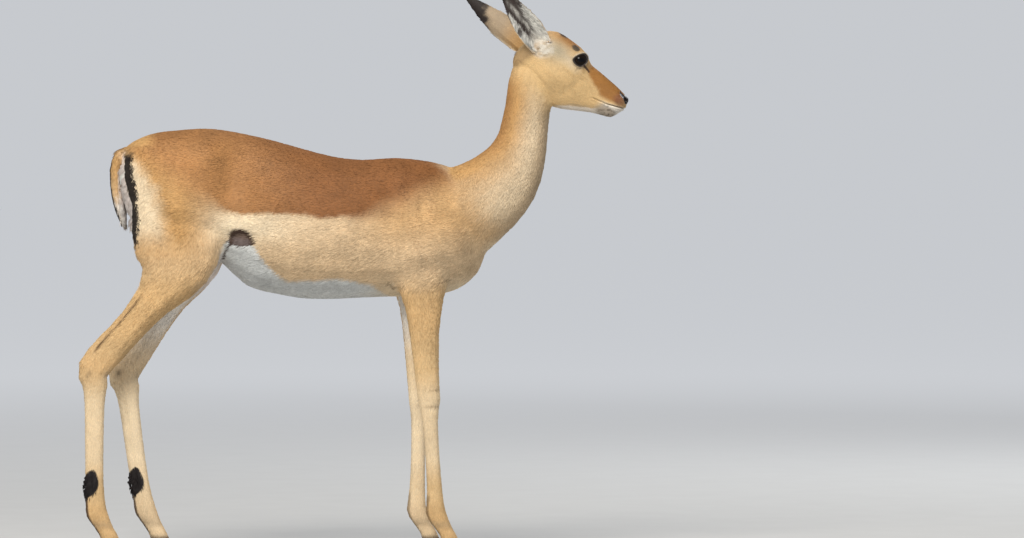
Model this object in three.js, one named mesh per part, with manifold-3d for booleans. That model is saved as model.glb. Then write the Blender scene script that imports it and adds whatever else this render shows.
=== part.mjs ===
// Impala ewe (Aepyceros melampus), standing, as a still life-size model.
// Millimetres, +Z up, the nose towards +X, the animal's right side towards -Y.
// The flesh is modelled whole, from lofted forms joined together, and then parted with thin cuts into
// trunk, neck, head, ears, tail and legs. The eyes and the eight claws of the hooves are pieces of their own.

import * as THREE from 'three';
import { mergeVertices } from 'three/addons/utils/BufferGeometryUtils.js';
import Module from 'manifold-3d';

const wasm = await Module();
wasm.setup();

// ---------------------------------------------------------------- driving dimensions

const GAP = 0.3; // clearance between pieces that touch
const LEFT = 1; // the animal's left side is +Y
const RIGHT = -1;

const CORONET_HEIGHT = 36; // where the leg's hair ends and the horn of the hoof begins
const EYE_RADIUS = 15.5;
const CLEFT = 1.6; // half the space between a hoof's two claws
const CLAW_FORWARD = 2; // how far a claw's middle stands in front of the middle of the leg's end
const REACH = 1600; // longer than the animal, for the boxes that cut it apart

// The trunk's upright sections, from the buttocks to the chest:
// x, height of the back, height of the underside, half width, how much wider it is above than below,
// and how full its corners are, where 2 is a plain ellipse.
const TRUNK = [
  { x: -360, top: 838, low: 788, wide: 24, egg: 0, square: 2 },
  { x: -354, top: 851, low: 752, wide: 44, egg: 0, square: 2.3 },
  { x: -338, top: 864, low: 712, wide: 63, egg: -0.05, square: 2.6 },
  { x: -300, top: 879, low: 682, wide: 82, egg: -0.1, square: 2.8 },
  { x: -255, top: 885, low: 664, wide: 92, egg: -0.12, square: 2.8 },
  { x: -200, top: 889, low: 640, wide: 95, egg: -0.12, square: 2.6 },
  { x: -155, top: 886, low: 606, wide: 92, egg: -0.1, square: 2.3 },
  { x: -105, top: 877, low: 562, wide: 93, egg: -0.1, square: 2.1 },
  { x: -50, top: 864, low: 547, wide: 102, egg: -0.12, square: 2.1 },
  { x: 10, top: 847, low: 537, wide: 110, egg: -0.14, square: 2.1 },
  { x: 70, top: 832, low: 536, wide: 110, egg: -0.14, square: 2.1 },
  { x: 130, top: 825, low: 539, wide: 103, egg: -0.12, square: 2.2 },
  { x: 195, top: 829, low: 541, wide: 93, egg: -0.18, square: 2.3 },
  { x: 255, top: 823, low: 543, wide: 86, egg: -0.2, square: 2.3 },
  { x: 305, top: 812, low: 550, wide: 80, egg: -0.16, square: 2.2 },
  { x: 340, top: 796, low: 566, wide: 68, egg: -0.08, square: 2.1 },
  { x: 368, top: 760, low: 594, wide: 48, egg: 0, square: 2 },
  { x: 384, top: 712, low: 632, wide: 22, egg: 0, square: 2 },
];

// Muscle and bone that stand out from the plain forms: centre, reach along x, y and z, and height.
const TRUNK_RELIEF = [
  { name: 'hip bone', at: [-168, 70, 838], reach: [26, 30, 26], lift: 9 },
  { name: 'haunch', at: [-268, 92, 730], reach: [80, 60, 80], lift: 13 },
  { name: 'flank hollow', at: [-118, 90, 790], reach: [36, 60, 60], lift: -12 },
  { name: 'shoulder blade', at: [268, 80, 735], reach: [38, 50, 75], lift: 14 },
  { name: 'upper arm', at: [262, 84, 628], reach: [52, 50, 52], lift: 16 },
  { name: 'point of shoulder', at: [335, 60, 660], reach: [28, 40, 34], lift: 10 },
  { name: 'hollow behind the arm', at: [186, 90, 640], reach: [24, 60, 80], lift: -7 },
];

// The neck's sections: centre, half depth, half width, and the section's slope in degrees.
const NECK = [
  { x: 322, z: 700, deep: 108, wide: 72, lean: -76 },
  { x: 366, z: 730, deep: 93, wide: 63, lean: -72 },
  { x: 407, z: 763, deep: 82, wide: 53, lean: -62 },
  { x: 438, z: 800, deep: 71, wide: 44, lean: -48 },
  { x: 456, z: 845, deep: 58, wide: 40, lean: -32 },
  { x: 463, z: 885, deep: 51, wide: 37, lean: -20 },
  { x: 470, z: 930, deep: 48, wide: 36, lean: -16 },
  { x: 479, z: 975, deep: 51, wide: 36, lean: -16 },
  { x: 490, z: 1012, deep: 50, wide: 34, lean: -18 },
];

// The head lies along its own axis, which runs down from the poll to the nose.
const HEAD_AT = [480, 0, 1030];
const HEAD_DROP = 30; // degrees below the horizontal
// The head's sections stand square to that axis, and are given as the trunk's are.
const HEAD = [
  { x: -36, top: 8, low: -18, wide: 20, egg: 0.0, square: 2 },
  { x: -26, top: 34, low: -36, wide: 32, egg: 0.05, square: 2 },
  { x: -8, top: 63, low: -40, wide: 40, egg: 0.12, square: 2.1 },
  { x: 18, top: 76, low: -46, wide: 43, egg: 0.12, square: 2.2 },
  { x: 48, top: 75, low: -58, wide: 43, egg: 0.16, square: 2.3 },
  { x: 76, top: 71, low: -64, wide: 43, egg: 0.28, square: 2.3 },
  { x: 95, top: 63, low: -61, wide: 40, egg: 0.32, square: 2.3 },
  { x: 110, top: 52, low: -55.5, wide: 35, egg: 0.28, square: 2.3 },
  { x: 132, top: 48, low: -46, wide: 30, egg: 0.18, square: 2.3 },
  { x: 158, top: 43, low: -35, wide: 26.5, egg: 0.1, square: 2.3 },
  { x: 182, top: 38, low: -28, wide: 24.5, egg: 0.04, square: 2.4 },
  { x: 199, top: 33, low: -22, wide: 22.5, egg: 0.05, square: 2.4 },
  { x: 210, top: 31, low: -4, wide: 18, egg: 0.1, square: 2.2 },
  { x: 214.5, top: 26, low: 6, wide: 9, egg: 0.1, square: 2 },
];
const HEAD_RELIEF = [
  { name: 'brow', at: [82, 50, 58], reach: [20, 16, 13], lift: 8 },
  { name: 'cheek bone', at: [88, 46, 24], reach: [30, 16, 10], lift: 4 },
  { name: 'cheek muscle', at: [48, 42, -12], reach: [30, 20, 30], lift: 5 },
  { name: 'temple', at: [40, 44, 52], reach: [18, 16, 14], lift: -3 },
  { name: 'tear hollow', at: [112, 36, 20], reach: [14, 16, 12], lift: -3 },
  { name: 'side of the muzzle', at: [150, 28, 0], reach: [26, 14, 14], lift: -1.5 },
  { name: 'nostril wing', at: [203, 21, 22], reach: [9, 10, 9], lift: 2.5 },
];
const EYE_AT = [83.5, 34, 47]; // on the head's axes
const NOSTRIL_AT = [209, 15, 23];
const NOSTRIL_RADII = [6, 5, 4.5];

// Leg joints seen from the side, x and z, and how far from the middle of the body each joint stands.
const LEGS = {
  hind_leg_right: {
    side: RIGHT,
    kind: 'hind',
    joints: [[-252, 770], [-236, 590], [-416, 398], [-417, 103], [-383, CORONET_HEIGHT]],
    out: [57, 62, 50, 50, 52],
  },
  hind_leg_left: {
    side: LEFT,
    kind: 'hind',
    joints: [[-252, 770], [-224, 598], [-361, 386], [-322, 103], [-288, CORONET_HEIGHT]],
    out: [57, 62, 52, 52, 54],
  },
  fore_leg_right: {
    side: RIGHT,
    kind: 'fore',
    joints: [[270, 690], [252, 572], [266, 335], [282, 98], [314, CORONET_HEIGHT]],
    out: [58, 60, 50, 48, 50],
  },
  fore_leg_left: {
    side: LEFT,
    kind: 'fore',
    joints: [[262, 690], [240, 572], [246, 335], [241, 98], [272, CORONET_HEIGHT]],
    out: [58, 60, 50, 48, 50],
  },
};

// What each kind of leg measures along its bones: bone number and share of its length, then how far the
// surface stands in front of the bone, behind it and to each side.
const HIND_SECTIONS = [
  { bone: 0, along: 0.1, fore: 84, aft: 92, wide: 40 },
  { bone: 0, along: 0.5, fore: 100, aft: 100, wide: 43 },
  { bone: 0, along: 0.85, fore: 77, aft: 99, wide: 41 },
  { bone: 1, along: 0.1, fore: 47, aft: 90, wide: 38 },
  { bone: 1, along: 0.3, fore: 32, aft: 54, wide: 34 },
  { bone: 1, along: 0.55, fore: 28, aft: 40, wide: 28 },
  { bone: 1, along: 0.8, fore: 29, aft: 40, wide: 21 },
  { bone: 2, along: 0.02, fore: 27, aft: 40, wide: 20 },
  { bone: 2, along: 0.12, fore: 24, aft: 30, wide: 19 },
  { bone: 2, along: 0.25, fore: 18, aft: 25, wide: 15.5 },
  { bone: 2, along: 0.5, fore: 16, aft: 24, wide: 13 },
  { bone: 2, along: 0.8, fore: 16, aft: 23, wide: 13.5 },
  { bone: 2, along: 0.97, fore: 21, aft: 22, wide: 17 },
  { bone: 3, along: 0.2, fore: 20, aft: 21, wide: 17 },
  { bone: 3, along: 0.6, fore: 17, aft: 17, wide: 15 },
  { bone: 3, along: 1.0, fore: 19, aft: 20, wide: 19 },
];
const FORE_SECTIONS = [
  { bone: 0, along: 0.2, fore: 52, aft: 54, wide: 34 },
  { bone: 0, along: 0.7, fore: 56, aft: 58, wide: 34 },
  { bone: 1, along: 0.05, fore: 52, aft: 50, wide: 32 },
  { bone: 1, along: 0.2, fore: 42, aft: 39, wide: 28 },
  { bone: 1, along: 0.45, fore: 31, aft: 32, wide: 23 },
  { bone: 1, along: 0.75, fore: 26, aft: 27, wide: 19 },
  { bone: 1, along: 0.95, fore: 24.5, aft: 24, wide: 19.5 },
  { bone: 2, along: 0.05, fore: 23, aft: 22, wide: 19 },
  { bone: 2, along: 0.2, fore: 17, aft: 17, wide: 15 },
  { bone: 2, along: 0.5, fore: 15, aft: 15.5, wide: 12.5 },
  { bone: 2, along: 0.8, fore: 16, aft: 17, wide: 13 },
  { bone: 2, along: 0.97, fore: 19, aft: 21, wide: 17 },
  { bone: 3, along: 0.25, fore: 18, aft: 19, wide: 16.5 },
  { bone: 3, along: 0.6, fore: 16, aft: 15, wide: 14.5 },
  { bone: 3, along: 1.0, fore: 18, aft: 19, wide: 18.5 },
];

// The tail's sections, given as the neck's are.
const TAIL = [
  { x: -340, z: 845, deep: 12, wide: 16, lean: -70 },
  { x: -364, z: 836, deep: 14, wide: 19, lean: -48 },
  { x: -377, z: 812, deep: 12, wide: 20, lean: -14 },
  { x: -379, z: 782, deep: 12, wide: 21, lean: 2 },
  { x: -376, z: 748, deep: 11.5, wide: 20, lean: 7 },
  { x: -370, z: 716, deep: 9, wide: 16, lean: 10 },
  { x: -364, z: 690, deep: 4, wide: 8, lean: 12 },
];

// Each ear: the middle of its base, its tip, and the way its hollow faces.
const EARS = {
  ear_right: { base: [495, -40, 1056], tip: [411, -94, 1180], faces: [0.22, -0.95, 0.05] },
  ear_left: { base: [463, 36, 1059], tip: [340, 70, 1163], faces: [0.3, 0.95, 0.1] },
};

const COAT = new THREE.MeshStandardMaterial({ color: 0xb98352, roughness: 0.75, metalness: 0 });
const HORN = new THREE.MeshStandardMaterial({ color: 0x26211e, roughness: 0.45, metalness: 0 });
const EYE = new THREE.MeshStandardMaterial({ color: 0x120b08, roughness: 0.08, metalness: 0 });

// ---------------------------------------------------------------- tools

const rad = THREE.MathUtils.degToRad;

// A closed mesh's geometry as a solid, for joining and cutting.
function solid(geometry) {
  geometry.deleteAttribute('normal');
  geometry.deleteAttribute('uv');
  const merged = mergeVertices(geometry, 1e-4);
  const made = new wasm.Manifold(new wasm.Mesh({
    numProp: 3,
    vertProperties: merged.attributes.position.array,
    triVerts: new Uint32Array(merged.index.array),
  }));
  return made;
}

function geometryOf(manifold) {
  const { vertProperties, triVerts, numProp } = manifold.getMesh();
  const geometry = new THREE.BufferGeometry();
  const positions = new Float32Array((vertProperties.length / numProp) * 3);
  for (let i = 0; i * numProp < vertProperties.length; i++) {
    positions.set(vertProperties.subarray(i * numProp, i * numProp + 3), i * 3);
  }
  geometry.setAttribute('position', new THREE.BufferAttribute(positions, 3));
  geometry.setIndex(new THREE.BufferAttribute(triVerts, 1));
  geometry.computeVertexNormals();
  return geometry;
}

// A list of stations with smooth steps filled in between them, key by key.
function between(stations, steps = 2) {
  const count = (stations.length - 1) * steps;
  const curves = Object.keys(stations[0]).map((key) => {
    const points = stations.map((s) => new THREE.Vector3(s[key], 0, 0));
    return [key, new THREE.CatmullRomCurve3(points, false, 'catmullrom', 0.5)];
  });
  const at = (i) => Object.fromEntries(curves.map(([key, curve]) => [key, curve.getPoint(i / count).x]));
  return Array.from({ length: count + 1 }, (_, i) => at(i));
}

const meanOf = (points) => points
  .reduce((sum, p) => sum.add(p), new THREE.Vector3())
  .divideScalar(points.length);

// Rings of points joined into one closed skin, with a point at the middle of each end.
function skin(rings) {
  const n = rings[0].length;
  const points = [...rings.flat(), meanOf(rings[0]), meanOf(rings.at(-1))];
  const start = points.length - 2;
  const end = points.length - 1;
  const last = (rings.length - 1) * n;
  const index = [];
  for (let i = 0; i < n; i++) {
    const next = (i + 1) % n;
    for (let r = 0; r < last; r += n) {
      index.push(r + i, r + next, r + next + n, r + i, r + next + n, r + i + n);
    }
    index.push(start, next, i, end, last + i, last + next);
  }
  const closed = () => solid(new THREE.BufferGeometry().setFromPoints(points).setIndex(index));
  if (closed().volume() < 0) index.reverse(); // turned right side out
  return closed();
}

// One ring: a rounded section around a centre, given the directions to its front (or top) and its side.
// egg makes it wider towards the front, and square fills out its corners.
function ring(centre, front, side, { fore, aft, wide, egg = 0, square = 2, grow = 0 }, sides) {
  return Array.from({ length: sides }, (_, i) => {
    const angle = (2 * Math.PI * (i + 0.5)) / sides;
    const c = Math.cos(angle);
    const s = Math.sin(angle);
    const along = Math.sign(c) * Math.abs(c) ** (2 / square);
    const across = Math.sign(s) * Math.abs(s) ** (2 / square) * (1 + egg * along);
    return centre.clone()
      .addScaledVector(front, along * ((c > 0 ? fore : aft) + grow))
      .addScaledVector(side, across * (wide + grow));
  });
}

// Moves each point of the rings away from its ring's middle by the relief near it, alike on both sides.
function relieve(rings, relief) {
  for (const points of rings) {
    const middle = meanOf(points);
    for (const p of points) {
      const push = relief.reduce((sum, { at, reach, lift }) => {
        const d = [p.x - at[0], Math.abs(p.y) - at[1], p.z - at[2]].map((v, k) => v / reach[k]);
        return sum + lift * Math.exp(-(d[0] ** 2 + d[1] ** 2 + d[2] ** 2));
      }, 0);
      p.addScaledVector(p.clone().sub(middle).normalize(), push);
    }
  }
  return rings;
}

// ---------------------------------------------------------------- forms

const UP = new THREE.Vector3(0, 0, 1);
const ACROSS = new THREE.Vector3(0, 1, 0);

// Rings that stand square to the x axis, each between its underside and its top.
function upright(stations, relief, sides, grow = 0) {
  const rings = between(stations).map(({ x, top, low, ...shape }) => {
    const half = (top - low) / 2;
    const centre = new THREE.Vector3(x, 0, low + half);
    return ring(centre, UP, ACROSS, { fore: half, aft: half, grow, ...shape }, sides);
  });
  return relieve(rings, relief);
}

const trunk = () => skin(upright(TRUNK, TRUNK_RELIEF, 22));

// A limb along the middle of the body, as the neck and the tail are.
function limb(stations, sides, grow = 0) {
  return skin(between(stations).map(({ x, z, deep, wide, lean }) => {
    const front = new THREE.Vector3(Math.cos(rad(lean)), 0, Math.sin(rad(lean)));
    return ring(new THREE.Vector3(x, 0, z), front, ACROSS, { fore: deep, aft: deep, wide, grow }, sides);
  }));
}
const neck = (grow) => limb(NECK, 20, grow);
const tail = () => limb(TAIL, 10);

// From the head's own axes to the part's.
const headFrame = new THREE.Matrix4()
  .makeRotationY(rad(HEAD_DROP))
  .setPosition(...HEAD_AT);

function head(grow) {
  const rings = upright(HEAD, HEAD_RELIEF, 20, grow);
  for (const p of rings.flat()) p.applyMatrix4(headFrame);
  return skin(rings);
}

const onHead = ([u, y, v], side) => new THREE.Vector3(u, y * side, v).applyMatrix4(headFrame);

function ball(centre, [rx, ry, rz], [across, down] = [12, 8]) {
  const geometry = new THREE.SphereGeometry(1, across, down);
  geometry.scale(rx, ry, rz).translate(centre.x, centre.y, centre.z);
  return solid(geometry);
}

function leg({ side, kind, joints, out }, grow = 0) {
  const at = joints.map(([x, z], i) => new THREE.Vector3(x, side * out[i], z));
  const sections = kind === 'hind' ? HIND_SECTIONS : FORE_SECTIONS;
  const stations = between(sections.map(({ bone, along, ...size }) => {
    const { x, y, z } = at[bone].clone().lerp(at[bone + 1], along);
    return { x, y, z, ...size };
  }));
  const centres = stations.map(({ x, y, z }) => new THREE.Vector3(x, y, z));
  return skin(stations.map(({ fore, aft, wide }, i) => {
    const down = new THREE.Vector3(0, 0, -1); // the last ring is level, where the hoof begins
    if (centres[i + 1]) down.subVectors(centres[i + 1], centres[Math.max(0, i - 1)]).normalize();
    const across = ACROSS.clone().addScaledVector(down, -down.y).normalize();
    const front = new THREE.Vector3().crossVectors(down, across);
    return ring(centres[i], front, across, { fore, aft, wide, square: 2.2, grow }, 12);
  }));
}

// A leaf-shaped shell, rolled at its base and open above, tapering to a point. Each ring runs round the
// outside of the shell from edge to edge and back along its inside.
const EAR = {
  half: 28, // half the width of the leaf where it is widest
  tip: 2.5, // and at its tip
  roll: [118, 68], // degrees that each side curls round, at the base and from the middle on
  thick: [4.6, 2], // the shell at the base and at the tip
};
function ear({ base, tip, faces }, steps = 10, points = 6) {
  const root = new THREE.Vector3(...base);
  const axis = new THREE.Vector3(...tip).sub(root);
  const long = axis.length();
  axis.normalize();
  const open = new THREE.Vector3(...faces);
  open.addScaledVector(axis, -open.dot(axis)).normalize();
  const across = new THREE.Vector3().crossVectors(axis, open);
  const rings = [];
  for (let i = 0; i <= steps; i++) {
    const t = i / steps;
    const half = EAR.tip + EAR.half * Math.sin(Math.PI * (0.26 + 0.74 * t)) ** 0.85 * (1 - 0.15 * t);
    const cup = half * (0.95 - 0.45 * t);
    const roll = rad(THREE.MathUtils.lerp(...EAR.roll, Math.min(1, t * 1.8)));
    const thick = THREE.MathUtils.lerp(...EAR.thick, t);
    const arc = (shrink, from, to) => Array.from({ length: points }, (_, k) => {
      const angle = from + ((to - from) * k) / (points - 1);
      return root.clone()
        .addScaledVector(axis, long * t)
        .addScaledVector(across, (half - shrink) * Math.sin(angle))
        .addScaledVector(open, cup * 0.5 - (cup - shrink) * Math.cos(angle));
    });
    rings.push([...arc(0, -roll, roll), ...arc(Math.min(thick, half * 0.6), roll * 0.94, -roll * 0.94)]);
  }
  return skin(rings);
}

// One claw of a cloven hoof: a flat-soled wedge, pointed in front and flat on the side that faces its twin.
function claw(x, y, inward) {
  const sides = 10;
  const levels = [
    { z: 0, toe: 45, heel: 16, wide: 18 },
    { z: 4, toe: 44, heel: 18, wide: 18.8 },
    { z: 20, toe: 31, heel: 19.5, wide: 18 },
    { z: CORONET_HEIGHT - GAP, toe: 17, heel: 18, wide: 16.5 },
  ];
  return skin(levels.map(({ z, toe, heel, wide }) => Array.from({ length: sides }, (_, i) => {
    const angle = (2 * Math.PI * i) / sides;
    const c = Math.cos(angle);
    const s = Math.sin(angle);
    const narrowing = c > 0 ? 1 - 0.35 * c ** 2 : 1;
    const flattening = s * inward > 0 ? 0.05 : 1;
    return new THREE.Vector3(x + c * (c > 0 ? toe : heel), y + s * wide * narrowing * flattening, z);
  })));
}

// ---------------------------------------------------------------- assembly

// A box that holds all that lies beyond a plane, given the plane's point and the way beyond it, and as
// much more on this side of the plane as back says.
function beyond(at, along, back = 0) {
  const way = new THREE.Vector3(...along).normalize();
  const turn = new THREE.Quaternion().setFromUnitVectors(new THREE.Vector3(0, 0, 1), way);
  const box = new THREE.BoxGeometry(REACH, REACH, REACH + back)
    .translate(0, 0, (REACH - back) / 2)
    .applyQuaternion(turn)
    .translate(...at);
  return solid(box);
}

const model = new THREE.Group();

function show(name, manifold, material) {
  const mesh = new THREE.Mesh(geometryOf(manifold), material);
  mesh.name = name;
  model.add(mesh);
}

const largest = (manifold) => manifold.decompose().sort((a, b) => b.volume() - a.volume())[0];

let flesh = trunk().add(neck()).add(head()).add(tail());
for (const shape of Object.values(LEGS)) flesh = flesh.add(leg(shape));

// Each leg parts from the body at a plane through its thigh or upper arm.
const LEG_PARTING = {
  hind: { at: [-245, 0, 676], along: [0.18, 0, -1] },
  fore: { at: [250, 0, 566], along: [0, 0, -1] },
};
for (const [name, shape] of Object.entries(LEGS)) {
  const { at, along } = LEG_PARTING[shape.kind];
  show(name, leg(shape).intersect(beyond(at, along)), COAT);
  flesh = flesh.subtract(leg(shape, GAP).intersect(beyond(at, along, GAP)));
}

for (const [name, shape] of Object.entries(EARS)) {
  show(name, largest(ear(shape).subtract(head(GAP)).subtract(neck(GAP))), COAT);
}

for (const [side, name] of [[RIGHT, 'right'], [LEFT, 'left']]) {
  const centre = onHead(EYE_AT, side);
  const [r, hole] = [EYE_RADIUS, EYE_RADIUS + GAP];
  flesh = flesh.subtract(ball(centre, [hole, hole, hole]));
  show(`eye_${name}`, ball(centre, [r, r, r]), EYE);
  flesh = flesh.subtract(ball(onHead(NOSTRIL_AT, side), NOSTRIL_RADII, [10, 8]));
}

// The rest parts into tail, trunk, neck and head, from back to front.
const PARTINGS = [
  { name: 'tail', at: [-361.5, 0, 800], along: [1, 0, 0] },
  { name: 'trunk', at: [361, 0, 740], along: [0.75, 0, 0.66] },
  { name: 'neck', at: [475, 0, 963], along: [0.69, 0, 0.72] },
  { name: 'head' },
];
for (const { name, at, along } of PARTINGS) {
  show(name, largest(at ? flesh.subtract(beyond(at, along, GAP)) : flesh), COAT);
  if (at) flesh = flesh.intersect(beyond(at, along));
}

for (const [name, { side, joints, out }] of Object.entries(LEGS)) {
  const [x] = joints.at(-1);
  for (const [place, way] of [['outer', 1], ['inner', -1]]) {
    const y = side * (out.at(-1) + way * CLEFT);
    show(`${name.replace('leg', 'claw')}_${place}`, claw(x + CLAW_FORWARD, y, -side * way), HORN);
  }
}

// The origin lies on the ground, under the middle of the animal.
const middle = new THREE.Box3().setFromObject(model).getCenter(new THREE.Vector3());
model.position.set(-middle.x, -middle.y, 0);

export default model;
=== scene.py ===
import math

import bmesh
import bpy
import numpy as np
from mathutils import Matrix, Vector
from mathutils.bvhtree import BVHTree


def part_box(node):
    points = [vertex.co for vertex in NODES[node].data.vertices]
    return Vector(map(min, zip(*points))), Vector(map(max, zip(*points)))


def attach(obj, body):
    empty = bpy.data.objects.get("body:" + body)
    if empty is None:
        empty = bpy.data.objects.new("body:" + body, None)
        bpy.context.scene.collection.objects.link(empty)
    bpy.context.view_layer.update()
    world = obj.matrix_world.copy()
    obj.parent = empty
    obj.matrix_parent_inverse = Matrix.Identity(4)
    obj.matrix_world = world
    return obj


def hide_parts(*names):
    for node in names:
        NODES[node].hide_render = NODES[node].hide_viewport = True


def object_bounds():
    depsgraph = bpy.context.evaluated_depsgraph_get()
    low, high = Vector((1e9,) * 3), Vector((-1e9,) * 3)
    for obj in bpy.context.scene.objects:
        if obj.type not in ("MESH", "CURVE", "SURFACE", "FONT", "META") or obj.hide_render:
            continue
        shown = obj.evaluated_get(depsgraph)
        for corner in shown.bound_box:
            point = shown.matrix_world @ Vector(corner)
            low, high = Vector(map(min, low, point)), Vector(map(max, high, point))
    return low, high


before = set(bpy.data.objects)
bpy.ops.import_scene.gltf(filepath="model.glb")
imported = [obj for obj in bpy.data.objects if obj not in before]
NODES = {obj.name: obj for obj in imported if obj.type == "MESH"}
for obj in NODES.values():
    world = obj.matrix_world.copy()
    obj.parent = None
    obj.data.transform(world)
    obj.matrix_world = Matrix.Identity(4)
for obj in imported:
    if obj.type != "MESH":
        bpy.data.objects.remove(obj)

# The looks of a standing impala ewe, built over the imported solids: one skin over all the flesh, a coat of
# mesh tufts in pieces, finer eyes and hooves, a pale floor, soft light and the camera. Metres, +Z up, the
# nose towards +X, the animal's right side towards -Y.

CAD_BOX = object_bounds()
MM = 0.001
rng = np.random.default_rng(11)

FLESH = (
    "trunk", "neck", "head", "tail", "ear_right", "ear_left",
    "fore_leg_right", "fore_leg_left", "hind_leg_right", "hind_leg_left",
)
SIDES = {"right": -1, "left": 1}

SWELL = 1.0 * MM  # how far each flesh solid swells so that the thin cuts between them close
VOXEL = 1.8 * MM
SKIN_TRIANGLES = 110_000
TUFT_SHARE = 1.0  # the share of the coat's tufts that is made


# ---------------------------------------------------------------- numbers and arrays

def smooth_step(low, high, value):
    share = np.clip((value - low) / (high - low), 0, 1)
    return share * share * (3 - 2 * share)


def unit(vectors):
    return vectors / np.maximum(np.linalg.norm(vectors, axis=-1, keepdims=True), 1e-12)


def bell(value, middle, width):
    """1 at the middle, falling to nothing beyond the width."""
    return np.exp(-(((value - middle) / width) ** 2))


def band(value, low, full, end, high):
    """1 from full to end, falling to 0 at low and at high."""
    return smooth_step(low, full, value) * smooth_step(high, end, value)


def curve(line, value):
    """The height of a line through these points at value."""
    return np.interp(value, *np.array(line).T)


def mound(points, centre, reach):
    """1 at the centre, falling to nothing beyond its reach, which is one length or one for each axis."""
    away = (points - np.asarray(centre)) / np.asarray(reach)
    return np.exp(-(away ** 2).sum(-1))


def spot(first, second, centre, reach):
    """A mound over two values instead of a place."""
    return mound(np.stack([first, second], 1), centre, reach)


def lay(base, colour, weight):
    """The rows of base, moved towards colour by each row's weight."""
    return base + np.clip(weight, 0, 1)[:, None] * (np.array(colour) - base)


def painted(base, *layers):
    """The base colour under layers, each a colour and how much of it covers each point."""
    for colour, weight in layers:
        base = lay(base, colour, weight)
    return base


def near_line(points, start, end, width):
    """1 on the line from start to end, falling to nothing beyond its width."""
    start, end = np.asarray(start, float), np.asarray(end, float)
    way = end - start
    along = np.clip((points - start) @ way / (way @ way), 0, 1)
    gap = np.linalg.norm(points - start - along[:, None] * way, axis=-1)
    return np.exp(-((gap / width) ** 2))


WAVES = rng.normal(size=(3, 10))
WAVE_STARTS = rng.uniform(0, 2 * math.pi, 10)


def ripple(points, size):
    """A smooth irregular value from about -1 to 1, which changes over that size."""
    return np.sin(points @ WAVES * (2.5 / size) + WAVE_STARTS).mean(-1) * 2


def corner(node, x, y, z):
    """The point at these shares of a node's box, from its lowest corner."""
    low, high = (np.array(c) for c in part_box(node))
    return low + (high - low) * (x, y, z)


def rows_of(items, key, width=3, kind=float):
    """One property of all the items of a mesh, a row for each."""
    found = np.empty(len(items) * width, dtype=kind)
    items.foreach_get(key, found)
    return found.reshape(-1, width)


def coordinates(mesh):
    return rows_of(mesh.vertices, "co")


def normals(mesh):
    return rows_of(mesh.vertex_normals, "vector")


def triangles(mesh):
    mesh.calc_loop_triangles()
    return rows_of(mesh.loop_triangles, "vertices", 3, np.int32)


def edges(mesh):
    return rows_of(mesh.edges, "vertices", 2, np.int32)


def set_coordinates(mesh, points):
    mesh.vertices.foreach_set("co", np.ascontiguousarray(points, dtype=float).ravel())
    mesh.update()


def spread(values, joins, passes, rate=0.5):
    """The rows of values after each has moved towards its neighbours' mean, rate of the way, passes times."""
    a, b = joins.T
    count = len(values)
    shares = np.bincount(joins.ravel(), minlength=count)[:, None]
    for _ in range(passes):
        columns = [
            np.bincount(a, values[b, k], count) + np.bincount(b, values[a, k], count)
            for k in range(values.shape[1])
        ]
        values = values + rate * (np.stack(columns, 1) / shares - values)
    return values


# ---------------------------------------------------------------- objects and meshes

def add_object(name, data):
    ob = bpy.data.objects.new(name, data)
    bpy.context.scene.collection.objects.link(ob)
    return ob


def give_mesh(ob, mesh):
    old, ob.data = ob.data, mesh
    bpy.data.meshes.remove(old)


def mesh_of(name, points, faces):
    """A mesh from arrays, with as many corners to every face, smoothly shaded."""
    mesh = bpy.data.meshes.new(name)
    sides = faces.shape[1]
    mesh.vertices.add(len(points))
    mesh.loops.add(faces.size)
    mesh.polygons.add(len(faces))
    mesh.vertices.foreach_set("co", np.ascontiguousarray(points, dtype=float).ravel())
    mesh.loops.foreach_set("vertex_index", faces.astype(np.int32).ravel())
    mesh.polygons.foreach_set("loop_start", np.arange(0, faces.size, sides, dtype=np.int32))
    mesh.polygons.foreach_set("use_smooth", np.ones(len(faces), dtype=bool))
    mesh.update(calc_edges=True)
    return mesh


def with_modifiers(ob, *modifiers):
    """Gives the object's mesh what these modifiers make of it, each given as its kind and its settings."""
    for kind, settings in modifiers:
        modifier = ob.modifiers.new(kind, kind)
        for key, value in settings.items():
            setattr(modifier, key, value)
    made = bpy.data.meshes.new_from_object(ob.evaluated_get(bpy.context.evaluated_depsgraph_get()))
    ob.modifiers.clear()
    give_mesh(ob, made)


def swollen(names, by):
    """The named nodes in one mesh, each grown outwards."""
    joined = bmesh.new()
    for name in names:
        part = bmesh.new()
        part.from_mesh(NODES[name].data)
        bmesh.ops.remove_doubles(part, verts=part.verts, dist=0.01 * MM)
        part.normal_update()
        for v in part.verts:
            v.co += v.normal * by
        grown = bpy.data.meshes.new(name)
        part.to_mesh(grown)
        joined.from_mesh(grown)
        part.free()
        bpy.data.meshes.remove(grown)
    mesh = bpy.data.meshes.new("joined")
    joined.to_mesh(mesh)
    joined.free()
    return mesh


def nearest_node(points, names):
    """For each point, the number in names of the node whose surface is nearest."""
    corners, faces, owner = [], [], []
    for number, name in enumerate(names):
        mesh = NODES[name].data
        faces += (triangles(mesh) + len(corners)).tolist()
        owner += [number] * (len(faces) - len(owner))
        corners += coordinates(mesh).tolist()
    tree = BVHTree.FromPolygons(corners, faces)
    return np.array([owner[tree.find_nearest(p)[2]] for p in points.tolist()])


# ---------------------------------------------------------------- the head's own axes

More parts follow.
